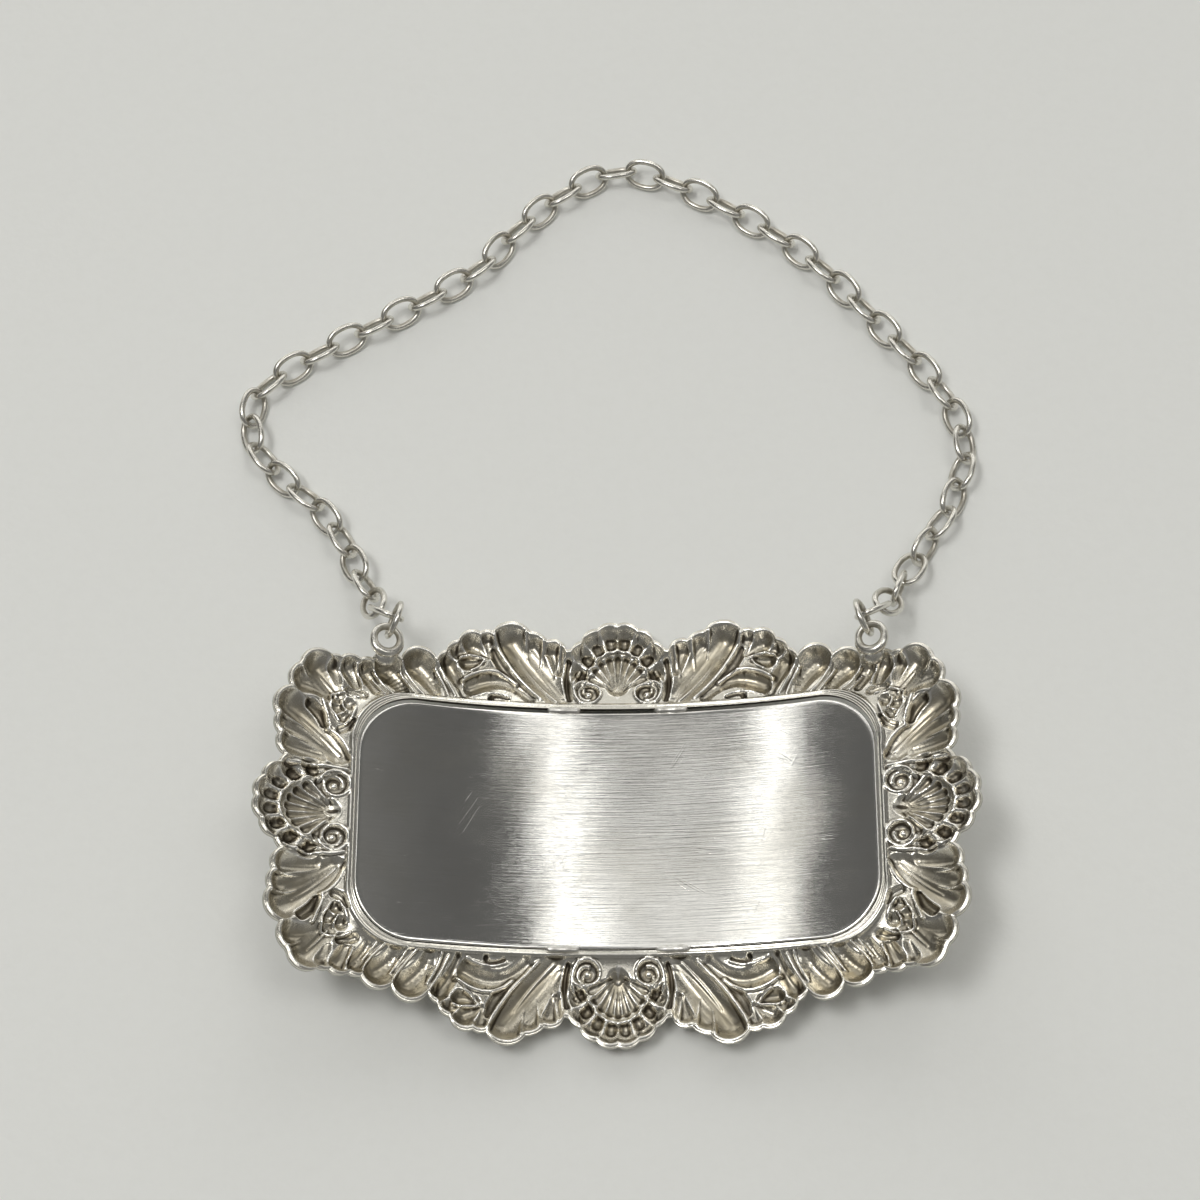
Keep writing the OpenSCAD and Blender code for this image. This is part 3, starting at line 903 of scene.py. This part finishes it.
    def quarter_rays(self) -> Tuple[Array, Array]:
        """Rays square to the opening's edge, from the top's middle to the side's middle.

        They are even along the edge, and closer round the corner by its weight.

        Returns:
            Roots and unit directions.
        """
        arc = self.corner_weight * self.open_r * np.pi / 2
        lengths = np.array([self.open_x - self.open_r, arc, self.open_y - self.open_r])
        share = np.concatenate([[0], np.cumsum(lengths)]) / lengths.sum()
        u = np.linspace(0, 1, self.rays + 1)
        turn = np.pi / 2 * (1 - np.clip((u - share[1]) / (share[2] - share[1]), 0, 1))
        way = np.stack([np.cos(turn), np.sin(turn)], -1)
        inner = np.array([lengths[0], lengths[2]])
        root = inner + self.open_r * way
        root[:, 0] -= inner[0] * np.clip(1 - u / share[1], 0, 1)
        root[:, 1] -= inner[1] * np.clip((u - share[2]) / (1 - share[2]), 0, 1)
        return root, way

    def reach(self, root: Array, way: Array, lobes: Array) -> Array:
        """Distance along each ray to the scalloped outline.

        It is the farthest crossing of the circles round the lobes' tips, each wider by the rim, and of the
        ground's outline.

        Args:
            root: starts of the rays.
            way: directions of the rays.
            lobes: the hollows.

        Returns:
            One distance a ray.
        """
        to = lobes[None, :, 2:4] - root[:, None]
        mid = (to * way[:, None]).sum(-1)
        room = (lobes[:, 5] + self.rim) ** 2 - (to ** 2).sum(-1) + mid ** 2
        far = np.where(room > 0, mid + np.sqrt(np.maximum(room, 0)), 0).max(1)
        edge = self.ground()
        a, run = edge[:-1], np.diff(edge, axis=0)
        turn = way[:, None, 0] * run[None, :, 1] - way[:, None, 1] * run[None, :, 0]
        turn = np.where(np.abs(turn) < TINY, TINY, turn)
        gap = a[None] - root[:, None]
        u = (gap[..., 0] * way[:, None, 1] - gap[..., 1] * way[:, None, 0]) / turn
        t = (gap[..., 0] * run[None, :, 1] - gap[..., 1] * run[None, :, 0]) / turn
        return np.maximum(far, np.where((u >= -SLACK) & (u <= 1 + SLACK), t, 0).max(1))

    @staticmethod
    def bowls(p: Array, lobes: Array, power: float) -> Array:
        """The deepest of many lobes at flat points.

        A lobe's depth is its own depth along root to tip times (1 - q squared) to a power, where q is the
        distance from its middle line over its radius there.

        Args:
            p: points.
            lobes: the lobes.
            power: 0.5 gives round bottoms, more gives softer brims.

        Returns:
            The depth at each point.
        """
        best = np.zeros(len(p))
        for x0, y0, x1, y1, r0, r1, d0, d1 in lobes:
            run = np.array([x1 - x0, y1 - y0])
            off = p - (x0, y0)
            s = np.clip(off @ run / max(float(run @ run), TINY), 0, 1)
            q = np.linalg.norm(off - s[:, None] * run, axis=1) / (r0 + s * (r1 - r0))
            best = np.maximum(best, (d0 + s * (d1 - d0)) * np.clip(1 - q * q, 0, 1) ** power)
        return best

    def quarter(self) -> Tuple[Array, Array]:
        """Flat points and depths of one quarter, ray by ray.

        Each ray crosses a moulded fillet, doubled and ribbed at the corner, then the hollows with their
        raised edges, and a thin rim.

        Returns:
            Points and depths.
        """
        lobes = self.hollows()
        root, way = self.quarter_rays()
        far = self.reach(root, way, lobes)
        corner = 2 * way[:, :1] * way[:, 1:]
        band = self.fillet * (1 + corner)
        width = (far - self.rim)[:, None] - band
        inner = np.linspace(0, 1, self.fillet_steps)[None, :] * band
        between = self.steps - self.fillet_steps - len(self.rim_shares)
        middle = band + width * np.linspace(0, 1, between + 1)[None, 1:]
        rim = far[:, None] - self.rim * np.array(self.rim_shares)[None]
        along = np.concatenate([inner, middle, rim], 1)
        points = root[:, None] + along[..., None] * way[:, None]
        flat = points.reshape(-1, 2)
        bowls = self.bowls(flat, lobes, self.bowl_power).reshape(along.shape)
        raised = self.bowls(flat, self.edges(), self.raise_power).reshape(along.shape)
        crisp = self.bowls(flat, self.details(), self.crisp_power).reshape(along.shape)
        inside = np.clip((along - band) / width, 0, 1)
        dish = (4 * inside * (1 - inside)) ** self.dish_power
        deep = self.relief * (self.dish * dish + self.bowl * bowls + crisp - self.raise_by * raised)
        s = np.clip(along / band, 0, 1)
        ribs = self.rib_depth * (1 - np.cos(2 * self.ribs * np.pi * s)) * corner
        moulding = self.fillet_depth * np.sin(np.pi * s) ** 2 + ribs
        ease = np.clip((along - band) / self.ease, 0, 1)
        deep = moulding + np.clip(deep, self.least_depth, self.relief) * ease * ease * (3 - 2 * ease)
        lip = np.clip((far[:, None] - along - self.lip_start) / (self.rim + self.lip_width), 0, 1)
        lip = 1 - (1 - lip) ** 2
        return points, deep * lip + self.rim_depth * self.relief * (1 - lip)

    def crease(self, depth: Array) -> Array:
        """How far each point lies below the mean of the points round it, from -1 on ridges to 1 in creases.

        Args:
            depth: depths, ray by ray.

        Returns:
            The crease value at each point.
        """
        rays, steps = self.crease_reach
        row = np.arange(depth.shape[1])
        shifts = [(c, r) for c in range(-rays, rays + 1) for r in range(-steps, steps + 1)]
        total = sum(np.roll(depth, c, 0)[:, np.clip(row + r, 0, row[-1])] for c, r in shifts)
        return np.clip((depth - total / len(shifts)) / self.crease_depth, -1, 1)

    def sheet_of(self, quarter: Quarter, points: Array, deep: Array) -> Surface:
        """Mirror the pattern into one quarter, bend both faces of the sheet and close them.

        Args:
            quarter: which quarter.
            points: flat points of the pattern, ray by ray.
            deep: depth at each point.

        Returns:
            The closed quarter, with its hollow and crease values.
        """
        flat = points * quarter.value
        back = bent(flat, -self.proud - deep)
        front = bent(flat, -self.proud - deep - self.sheet)
        slit = np.repeat(flat[:, :1] + self.slit_step * (flat[:, :1] - flat[:, 1:2]), 2, 1)
        wall = bent(slit, -self.proud - deep[:, :1] - self.sheet * np.array([self.slit_shares]))
        grid = np.concatenate([back, front[:, ::-1], wall], 1)
        columns, rows = grid.shape[:2]
        quads = grid_quads(columns, rows, round_columns=False)
        across = deep.shape[1]
        j = np.arange(across - 1)
        first = np.stack([j, j + 1, 2 * across - 2 - j, 2 * across - 1 - j], -1)
        first = np.vstack([first, [[0, 2 * across - 1, 2 * across, 2 * across + 1]]])
        caps = np.vstack([first, first[:, ::-1] + (columns - 1) * rows])
        if quarter.value[0] * quarter.value[1] < 0:
            quads, caps = quads[:, ::-1], caps[:, ::-1]
        hollow = np.clip(deep / self.relief, 0, 1)
        front_hollow = self.front_tarnish * (1 - hollow)
        # painted shade: the wall down into the slit gets full hollow and crease values, so it is tinted dark
        dark = np.ones((columns, 2))
        values = {
            "hollow": np.concatenate([hollow, front_hollow[:, ::-1], dark], 1).reshape(-1),
            "crease": np.concatenate([self.crease(deep), self.crease(-deep)[:, ::-1], dark], 1).reshape(-1)}
        return Surface(kept_inside(grid.reshape(-1, 3), self.node), quads, values, caps)

    def build(self) -> List[Piece]:
        """The four quarters, from one pattern.

        Returns:
            Their pieces.
        """
        pattern = self.quarter()
        return [
            Piece("border_" + quarter.name.lower(), self.sheet_of(quarter, *pattern), Slot.STAMPED,
                  Body.LABEL.value, self.node)
            for quarter in Quarter]


@dataclass
class Plate(Assembly):
    """The bare plate, bent with the border, with a bevelled edge and a face that is no longer quite even."""

    node: ClassVar[str] = "name_plate"
    half_x: float = 21.35
    half_y: float = 10.2
    corner: float = 4.9
    shift_y: float = -0.17
    thick: float = 0.7
    bevel: float = 0.24
    bevel_fall: float = 0.7
    edge_drop: float = 0.1
    front_round: float = 0.12
    front_arris: float = 0.03
    sink: float = 0.02
    waves: Point = (0.014, 0.005)
    wave_floor: float = -0.01
    columns: int = 360
    back_rows: int = 40
    bevel_rows: int = 5
    front_rows: int = 16
    face_reach: float = 0.8
    front_start: float = 0.01

    def outline(self) -> Array:
        """Rounded rectangle by even steps, counter-clockwise from the right.

        Returns:
            Its points.
        """
        x, y, arc = self.half_x - self.corner, self.half_y - self.corner, self.corner * np.pi / 2
        stops = np.cumsum([0, y, arc, 2 * x, arc, 2 * y, arc, 2 * x, arc, y])
        s = np.linspace(0, stops[-1], self.columns, endpoint=False)
        turn = np.interp(s, stops, np.pi / 2 * np.array([0, 0, 1, 1, 2, 2, 3, 3, 4, 4]))
        middle_x = np.interp(s, stops, [x, x, x, -x, -x, -x, -x, x, x, x])
        middle_y = np.interp(s, stops, [0, y, y, y, y, -y, -y, -y, -y, 0])
        return np.stack([middle_x + self.corner * np.cos(turn), middle_y + self.corner * np.sin(turn)], -1)

    def rows(self) -> Tuple[Array, Array, Array]:
        """Profile from near the spine over the back, the bevel and the edge to the spine on the front.

        Returns:
            Shares of the way to the spine, lengths to go inward besides, and heights.
        """
        b, t, drop = self.bevel, self.thick, self.edge_drop
        turn = np.linspace(0, np.pi / 2, self.bevel_rows + 1)[1:]
        edge = [-self.bevel_fall * b - drop, self.front_round - t, self.front_arris - t]
        share = np.concatenate([
            np.linspace(self.face_reach, 0, self.back_rows), np.zeros(self.bevel_rows + len(edge)),
            np.linspace(self.front_start, self.face_reach, self.front_rows)])
        length = np.concatenate([
            np.full(self.back_rows, b), b * (1 - np.sin(turn)), [0, 0, self.front_arris],
            np.full(self.front_rows, drop)])
        height = np.concatenate([
            np.zeros(self.back_rows), self.bevel_fall * b * (np.cos(turn) - 1), edge,
            np.full(self.front_rows, -t)])
        return share, length, height

    def rings(self, edge: Array, limit: float) -> Tuple[Array, Array]:
        """Rings of points by the rows of the profile, and how much painted shade of the slit each row gets.

        The back's height varies by two slow waves of a few hundredths of a millimetre.

        Args:
            edge: the outline.
            limit: half length of the spine.

        Returns:
            Points, column by column, and one painted slit shade value a row.
        """
        spine = np.stack([np.clip(edge[:, 0], -limit, limit), np.zeros(len(edge))], -1)
        inward = spine - edge
        span = np.linalg.norm(inward, axis=1, keepdims=True)
        share, length, height = self.rows()
        flat = edge[:, None] + inward[:, None] * (share + (1 - share) * length / span)[..., None]
        x, y = flat[..., 0], flat[..., 1]
        slow, quick = self.waves
        wave = slow * np.sin(0.5 * x + 0.16 * y + 0.9) * np.cos(0.3 * y) + quick * np.sin(0.95 * x - 0.5 * y)
        lift = height + np.where(height > self.wave_floor, wave - self.sink, 0)
        # painted shade of the slit: 0 on the faces, rising to 1 down the edge toward the front
        slit = np.where(share > 0, 0, np.clip(-height / self.bevel, 0, 1))
        return bent(flat + (0, self.shift_y), lift), slit

    def build(self) -> List[Piece]:
        """The rings, with a strip along the spine and a fan at each end of it to close each face.

        Returns:
            The plate's piece.
        """
        edge, limit = self.outline(), self.half_x - self.half_y
        rings, slit = self.rings(edge, limit)
        n, rows = rings.shape[:2]
        half, count = n // 2, n * rows
        k = int(np.argmax(edge[:, 0] < limit))
        i, j = np.arange(k, half - k), np.arange(-k, k)
        strip = np.stack([i, i + 1, n - 1 - i, n - i], -1) * rows
        right = np.stack([np.full(2 * k, count), j % n * rows, (j + 1) % n * rows], -1)
        left = np.stack([np.full(2 * k, count + 1), (half + j) * rows, (half + j + 1) * rows], -1)
        shut = np.array([
            [count, k * rows, (n - k) * rows], [count + 1, (half + k) * rows, (half - k) * rows]])
        back = np.vstack([right, left, shut])
        front = np.where(back < count, back + rows - 1, back + 2)[:, ::-1]
        hubs = [
            rings[np.arange(at - k, at + k + 1), row].mean(0) for row in (0, -1) for at in (0, half)]
        points = kept_inside(np.vstack([rings.reshape(-1, 3), hubs]), self.node)
        quads = grid_quads(n, rows, round_rows=False)[:, ::-1]
        quads = np.vstack([quads, strip, strip[:, ::-1] + rows - 1])
        values = {"slit": np.concatenate([np.tile(slit, n), np.zeros(len(hubs))])}
        made = Surface(points, quads, values, fans=np.vstack([back, front]))
        return [Piece("bare_plate", made, Slot.BRUSHED, Body.LABEL.value, self.node)]


@dataclass
class Solder(Assembly):
    """Runs of solder in the slits between plate and border."""

    half_x: float = 4.4
    half_run: float = 1.4
    rows_y: Point = (-10.41, 10.24)
    height: float = -0.12
    radius: float = 0.35
    lump: float = 0.1
    ripple: float = 7.0
    ripple_shift: float = 2.1
    least: float = 0.004
    cuts: int = 25
    sides: int = 18

    def build(self) -> List[Piece]:
        """Lumpy rods whose radius falls off by the fourth power of their length, with a ripple on it.

        Returns:
            All the runs as one piece.
        """
        made: Optional[Surface] = None
        u = np.linspace(-1, 1, self.cuts)
        for k, (x, y) in enumerate((x, y) for x in (-self.half_x, self.half_x) for y in self.rows_y):
            flat = np.stack([x + u * self.half_run, np.full_like(u, y)], -1)
            lumps = 1 - self.lump + self.lump * np.sin(self.ripple * u + self.ripple_shift * k)
            radius = self.radius * np.clip(1 - u ** 4, self.least, 1) ** 0.5 * lumps
            run = rod(bent(flat, np.full_like(u, self.height)), radius, self.sides)
            made = run if made is None else made.joined(run)
        return [Piece("solder_runs", made, Slot.SOLDER, Body.LABEL.value, "solder_tacks")]


@dataclass
class Eyelet(Assembly):
    """A wire eyelet with a foot that is soldered to the border's back."""

    side: Side
    at: Point
    radius: float = 1.12
    wire: float = 0.62
    height: float = 0.3
    thicken: float = 0.12
    foot_start: float = 0.97
    foot_reach: float = 2.1
    foot_height: float = 0.2
    foot_fall: float = 0.9
    foot_power: float = 1.2
    foot_radius: float = 0.5
    foot_wide: float = 1.8
    foot_least: float = 0.0004
    foot_cuts: int = 20
    points: int = 64
    sides: int = 24

    def build(self) -> List[Piece]:
        """A ring that thickens outward toward the border, and a soldered foot that swells as half an ellipse.

        Returns:
            The eyelet's piece.
        """
        middle = bent(np.array([self.at]), np.array([self.height]))[0]
        turn = self.at[0] / BOTTLE_RADIUS
        along = np.array([math.cos(turn), 0, math.sin(turn)])
        up = np.array([-math.sin(turn), 0, math.cos(turn)])
        phi = np.linspace(0, 2 * np.pi, self.points, endpoint=False)
        out = np.cos(phi)[:, None] * along + np.sin(phi)[:, None] * np.array([0, 1.0, 0])
        more = self.thicken * np.clip(-np.sin(phi), 0, 1)
        path = middle + (self.radius + more)[:, None] * out
        ring = wire_loop(path, out, np.broadcast_to(up, out.shape), self.wire / 2 + more, self.sides)
        s = 0.5 - 0.5 * np.cos(np.linspace(0, np.pi, self.foot_cuts))
        down = self.at[1] - self.foot_start - s * (self.foot_reach - self.foot_start)
        flat = np.stack([np.full_like(s, self.at[0]), down], -1)
        path = bent(flat, self.foot_height - self.foot_fall * s ** self.foot_power)
        swell = self.foot_radius * np.clip(1 - (2 * s - 1) ** 2, self.foot_least, 1) ** 0.5
        made = ring.joined(rod(path, swell, self.sides, self.foot_wide))
        side = self.side.value
        return [Piece(side + "_wire_eyelet", made, Slot.WIRE, Body.LABEL.value, side + "_eyelet")]


@dataclass
class Loop(Assembly):
    """A closed loop of wire that stands where its CAD node stands: a jump ring or a link of the chain."""

    node: str
    wire: float
    power: float = 2.0
    points: int = 48
    sides: int = 14
    fit: float = 0.99
    seam_depth: float = 0.05
    seam_at: float = 1.45
    seam_width: float = 0.06

    def axes(self) -> Tuple[Array, Array, Array]:
        """Middle, main directions and half sizes of the CAD node's mesh.

        The directions are the principal axes of its points, longest first.

        Returns:
            Middle, three unit rows, and the half size along each, in millimetres.
        """
        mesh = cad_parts[self.node].data
        raw = np.empty(len(mesh.vertices) * 3)
        mesh.vertices.foreach_get("co", raw)
        p = raw.reshape(-1, 3) / MM
        _, _, way = np.linalg.svd(p - p.mean(0), full_matrices=False)
        spread = (p - p.mean(0)) @ way.T
        middle = p.mean(0) + (spread.max(0) + spread.min(0)) / 2 @ way
        return middle, way, (spread.max(0) - spread.min(0)) / 2

    def build(self) -> List[Piece]:
        """Round wire along a superellipse.

        The path is half length times the cosine and half width times the sine, each to the power 2 over the
        loop's own power, with a seam where the wire was closed.

        Returns:
            The loop's piece, on the body of the same name.
        """
        middle, way, half = self.axes()
        if np.linalg.det(way) < 0:
            way = way * np.array([[1], [1], [-1]])
        phi = np.linspace(0, 2 * np.pi, self.points, endpoint=False)
        circle = np.stack([np.cos(phi), np.sin(phi)], -1)
        path = (half[:2] - self.wire / 2) * np.sign(circle) * np.abs(circle) ** (2 / self.power)
        along = unit(np.roll(path, -1, 0) - np.roll(path, 1, 0))
        out = np.stack([along[:, 1], -along[:, 0]], -1)
        seam = self.seam_depth * np.exp(-((phi - self.seam_at) / self.seam_width) ** 2)
        across = np.broadcast_to(way[2], (self.points, 3))
        radius = self.wire / 2 * (self.fit - seam)
        made = wire_loop(middle + path @ way[:2], out @ way[:2], across, radius, self.sides)
        return [Piece(self.node + "_wire", made, Slot.WIRE, self.node, self.node)]


@dataclass
class Chain(Assembly):
    """Both rings and all the links."""

    links: int = 25
    link_wire: float = 0.52
    link_power: float = 2.25
    ring_wire: float = 0.48
    ring_points: int = 64
    ring_sides: int = 18

    def build(self) -> List[Piece]:
        """Every ring and link, from the label outward on each side.

        Returns:
            Their pieces.
        """
        made: List[Piece] = []
        for side in Side:
            ring = Loop(side.value + "_ring", self.ring_wire, points=self.ring_points, sides=self.ring_sides)
            made += ring.build()
            for k in range(1, self.links + 1):
                made += Loop("%s_link_%d" % (side.value, k), self.link_wire, self.link_power).build()
        return made


@dataclass(frozen=True)
class Room:
    """Light of the room by direction. An edge is a pair of a direction's x or y, from dark to bright.

    A ceiling light lies across in two strips. Behind it stands a broad leaning panel with two brighter
    bands, which darkens downward. The room is bright below that, down to the table, and dim elsewhere.
    """

    colour: Colour = (1.0, 0.995, 0.965)
    base: float = 0.1
    lean_middle: float = 0.355
    lean_limit: float = 0.08
    near_lean: float = 0.8
    far_lean: float = 0.4
    near_edge: Point = (0.19, 0.155)
    far_edge: Point = (-0.445, -0.42)
    panel_top: Point = (0.1, 0.25)
    panel_dark: float = 0.06
    panel_fade: Point = (0.4, 0.33)
    panel_level: float = 0.79
    near_band: float = 0.13
    near_fade: Point = (0.01, 0.065)
    near_level: float = 1.9
    far_band: float = -0.395
    far_fade: Point = (0.01, 0.06)
    far_level: float = 1.7
    band_top: Point = (0.15, 0.3)
    ceiling_front: Point = (-0.25, -0.1)
    ceiling_back: Point = (0.2, 0.06)
    ceiling_ends: Point = (0.9, 0.6)
    ceiling_level: float = 0.5
    strip_middle: float = 0.32
    strip_edge: Point = (0.24, 0.1)
    strip_level: float = 2.5
    behind_edge: Point = (0.5, 0.68)
    behind_level: float = 0.7
    front_edge: Point = (-0.25, -0.5)
    front_level: float = 0.09
    side_edge: Point = (0.4, 0.75)
    side_level: float = 0.1

    def build(self) -> bpy.types.World:
        """Add up the lights at each direction.

        Returns:
            The world.
        """
        room = bpy.data.worlds.new("soft_room")
        room.use_nodes = True
        g = Graph(room.node_tree)
        way = g.node("ShaderNodeTexCoord", {}, "Generated")
        x, y = (
            g.node("ShaderNodeVectorMath", {0: way, 1: axis}, "Value", operation="DOT_PRODUCT")
            for axis in ((1, 0, 0), (0, 1, 0)))
        lean = (y - self.lean_middle).most(-self.lean_limit).least(self.lean_limit)
        near, far = x - lean * self.near_lean, x + lean * self.far_lean
        panel = near.ramp(*self.near_edge) * far.ramp(*self.far_edge) * y.ramp(*self.panel_top)
        panel = panel * (self.panel_dark + y.ramp(*self.panel_fade) * self.panel_level)
        near_band = 1.0 - abs(near - self.near_band).ramp(*self.near_fade)
        far_band = 1.0 - abs(far - self.far_band).ramp(*self.far_fade)
        bands = (near_band * self.near_level + far_band * self.far_level) * y.ramp(*self.band_top)
        ceiling = y.ramp(*self.ceiling_front) * y.ramp(*self.ceiling_back) * abs(x).ramp(*self.ceiling_ends)
        strips = abs(abs(x) - self.strip_middle).ramp(*self.strip_edge) * self.strip_level
        behind = y.ramp(*self.behind_edge) * self.behind_level
        front = y.ramp(*self.front_edge) * self.front_level
        side = x.ramp(*self.side_edge) * self.side_level
        level = self.base + panel + bands + ceiling * (self.ceiling_level + strips) + behind + front + side
        light = g.node("ShaderNodeBackground", {"Color": (*self.colour, 1), "Strength": level})
        g.node("ShaderNodeOutputWorld", {"Surface": light})
        return room


@dataclass
class Studio:
    """Camera at the photograph's angle, a pale table and soft lights. Angles are in radians."""

    elevation: float = 1.1298
    yaw: float = 0.0503
    roll: float = -0.0544
    distance: float = 251.7782
    target: Triple = (-1.4516, 20.3395, 0.0)
    focal_pixels: float = 3000.0
    frame_pixels: float = 1200.0
    sensor: float = 36.0
    clip_start: float = 10.0
    clip_end: float = 20000.0
    table_half: float = 1500.0
    table_points: int = 9
    key_spot: Triple = (-280.0, -60.0, 800.0)
    key_aim: Triple = (0.0, 20.0, 0.0)
    key_size: Point = (300.0, 160.0)
    key_watts: float = 1.3

    def camera(self) -> None:
        """Set the camera by its angles: it looks at the target from its distance, turned by its roll."""
        back = np.array([
            math.sin(self.yaw) * math.cos(self.elevation), -math.cos(self.yaw) * math.cos(self.elevation),
            math.sin(self.elevation)])
        right = np.array([math.cos(self.yaw), math.sin(self.yaw), 0])
        up = np.cross(back, right)
        c, s = math.cos(self.roll), math.sin(self.roll)
        x, y = c * right + s * up, -s * right + c * up
        spot = (np.array(self.target) + back * self.distance) * MM
        lens = bpy.data.cameras.new("photo_camera")
        lens.sensor_width = self.sensor
        lens.sensor_height = self.sensor
        lens.sensor_fit = "AUTO"
        lens.lens = self.focal_pixels / self.frame_pixels * self.sensor
        lens.clip_start = self.clip_start * MM
        lens.clip_end = self.clip_end * MM
        made = bpy.data.objects.new("photo_camera", lens)
        made.matrix_world = Matrix([[*row] for row in np.stack([x, y, back, spot], 1)] + [[0, 0, 0, 1]])
        bpy.context.scene.collection.objects.link(made)
        bpy.context.scene.camera = made

    def table(self, material: bpy.types.Material, height: float) -> None:
        """Lay the table under the object's lowest point.

        Args:
            material: the table's finish.
            height: height of the table, in millimetres.
        """
        grid = np.linspace(-self.table_half, self.table_half, self.table_points)
        x, y = np.meshgrid(grid, grid, indexing="ij")
        points = np.stack([x, y, np.full_like(x, height)], -1).reshape(-1, 3)
        quads = grid_quads(self.table_points, self.table_points, round_columns=False, round_rows=False)
        Surface(points, quads).object("table_card", material)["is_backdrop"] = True

    def key_light(self) -> None:
        """Hang one rectangular soft light that faces the object."""
        lamp = bpy.data.lights.new("key_box", "AREA")
        lamp.shape = "RECTANGLE"
        lamp.size, lamp.size_y = (length * MM for length in self.key_size)
        lamp.energy = self.key_watts
        made = bpy.data.objects.new("key_box", lamp)
        spot, aim = Vector(self.key_spot) * MM, Vector(self.key_aim) * MM
        made.location = spot
        made.rotation_euler = (aim - spot).to_track_quat("-Z", "Y").to_euler()
        bpy.context.scene.collection.objects.link(made)

    def dress(self, finishes: Finishes) -> None:
        """Set camera, table and lights.

        Args:
            finishes: every finish, the table's among them.
        """
        self.camera()
        self.table(finishes.table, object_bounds()[0][2] / MM)
        bpy.context.scene.world = Room().build()
        self.key_light()
        bpy.context.scene.view_settings.view_transform = "Standard"


def main() -> None:
    """Build every sub-assembly in order; each piece logs its face count."""
    logging.basicConfig(level=logging.INFO, format="%(name)s %(message)s")
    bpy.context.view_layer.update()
    finishes = Finishes()
    Studio().dress(finishes)
    Border().dress(finishes)
    Plate().dress(finishes)
    Solder().dress(finishes)
    Eyelet(Side.LEFT, (-19.4, 15.2)).dress(finishes)
    Eyelet(Side.RIGHT, (21.5, 14.7)).dress(finishes)
    Chain().dress(finishes)


if __name__ == "__main__":
    main()
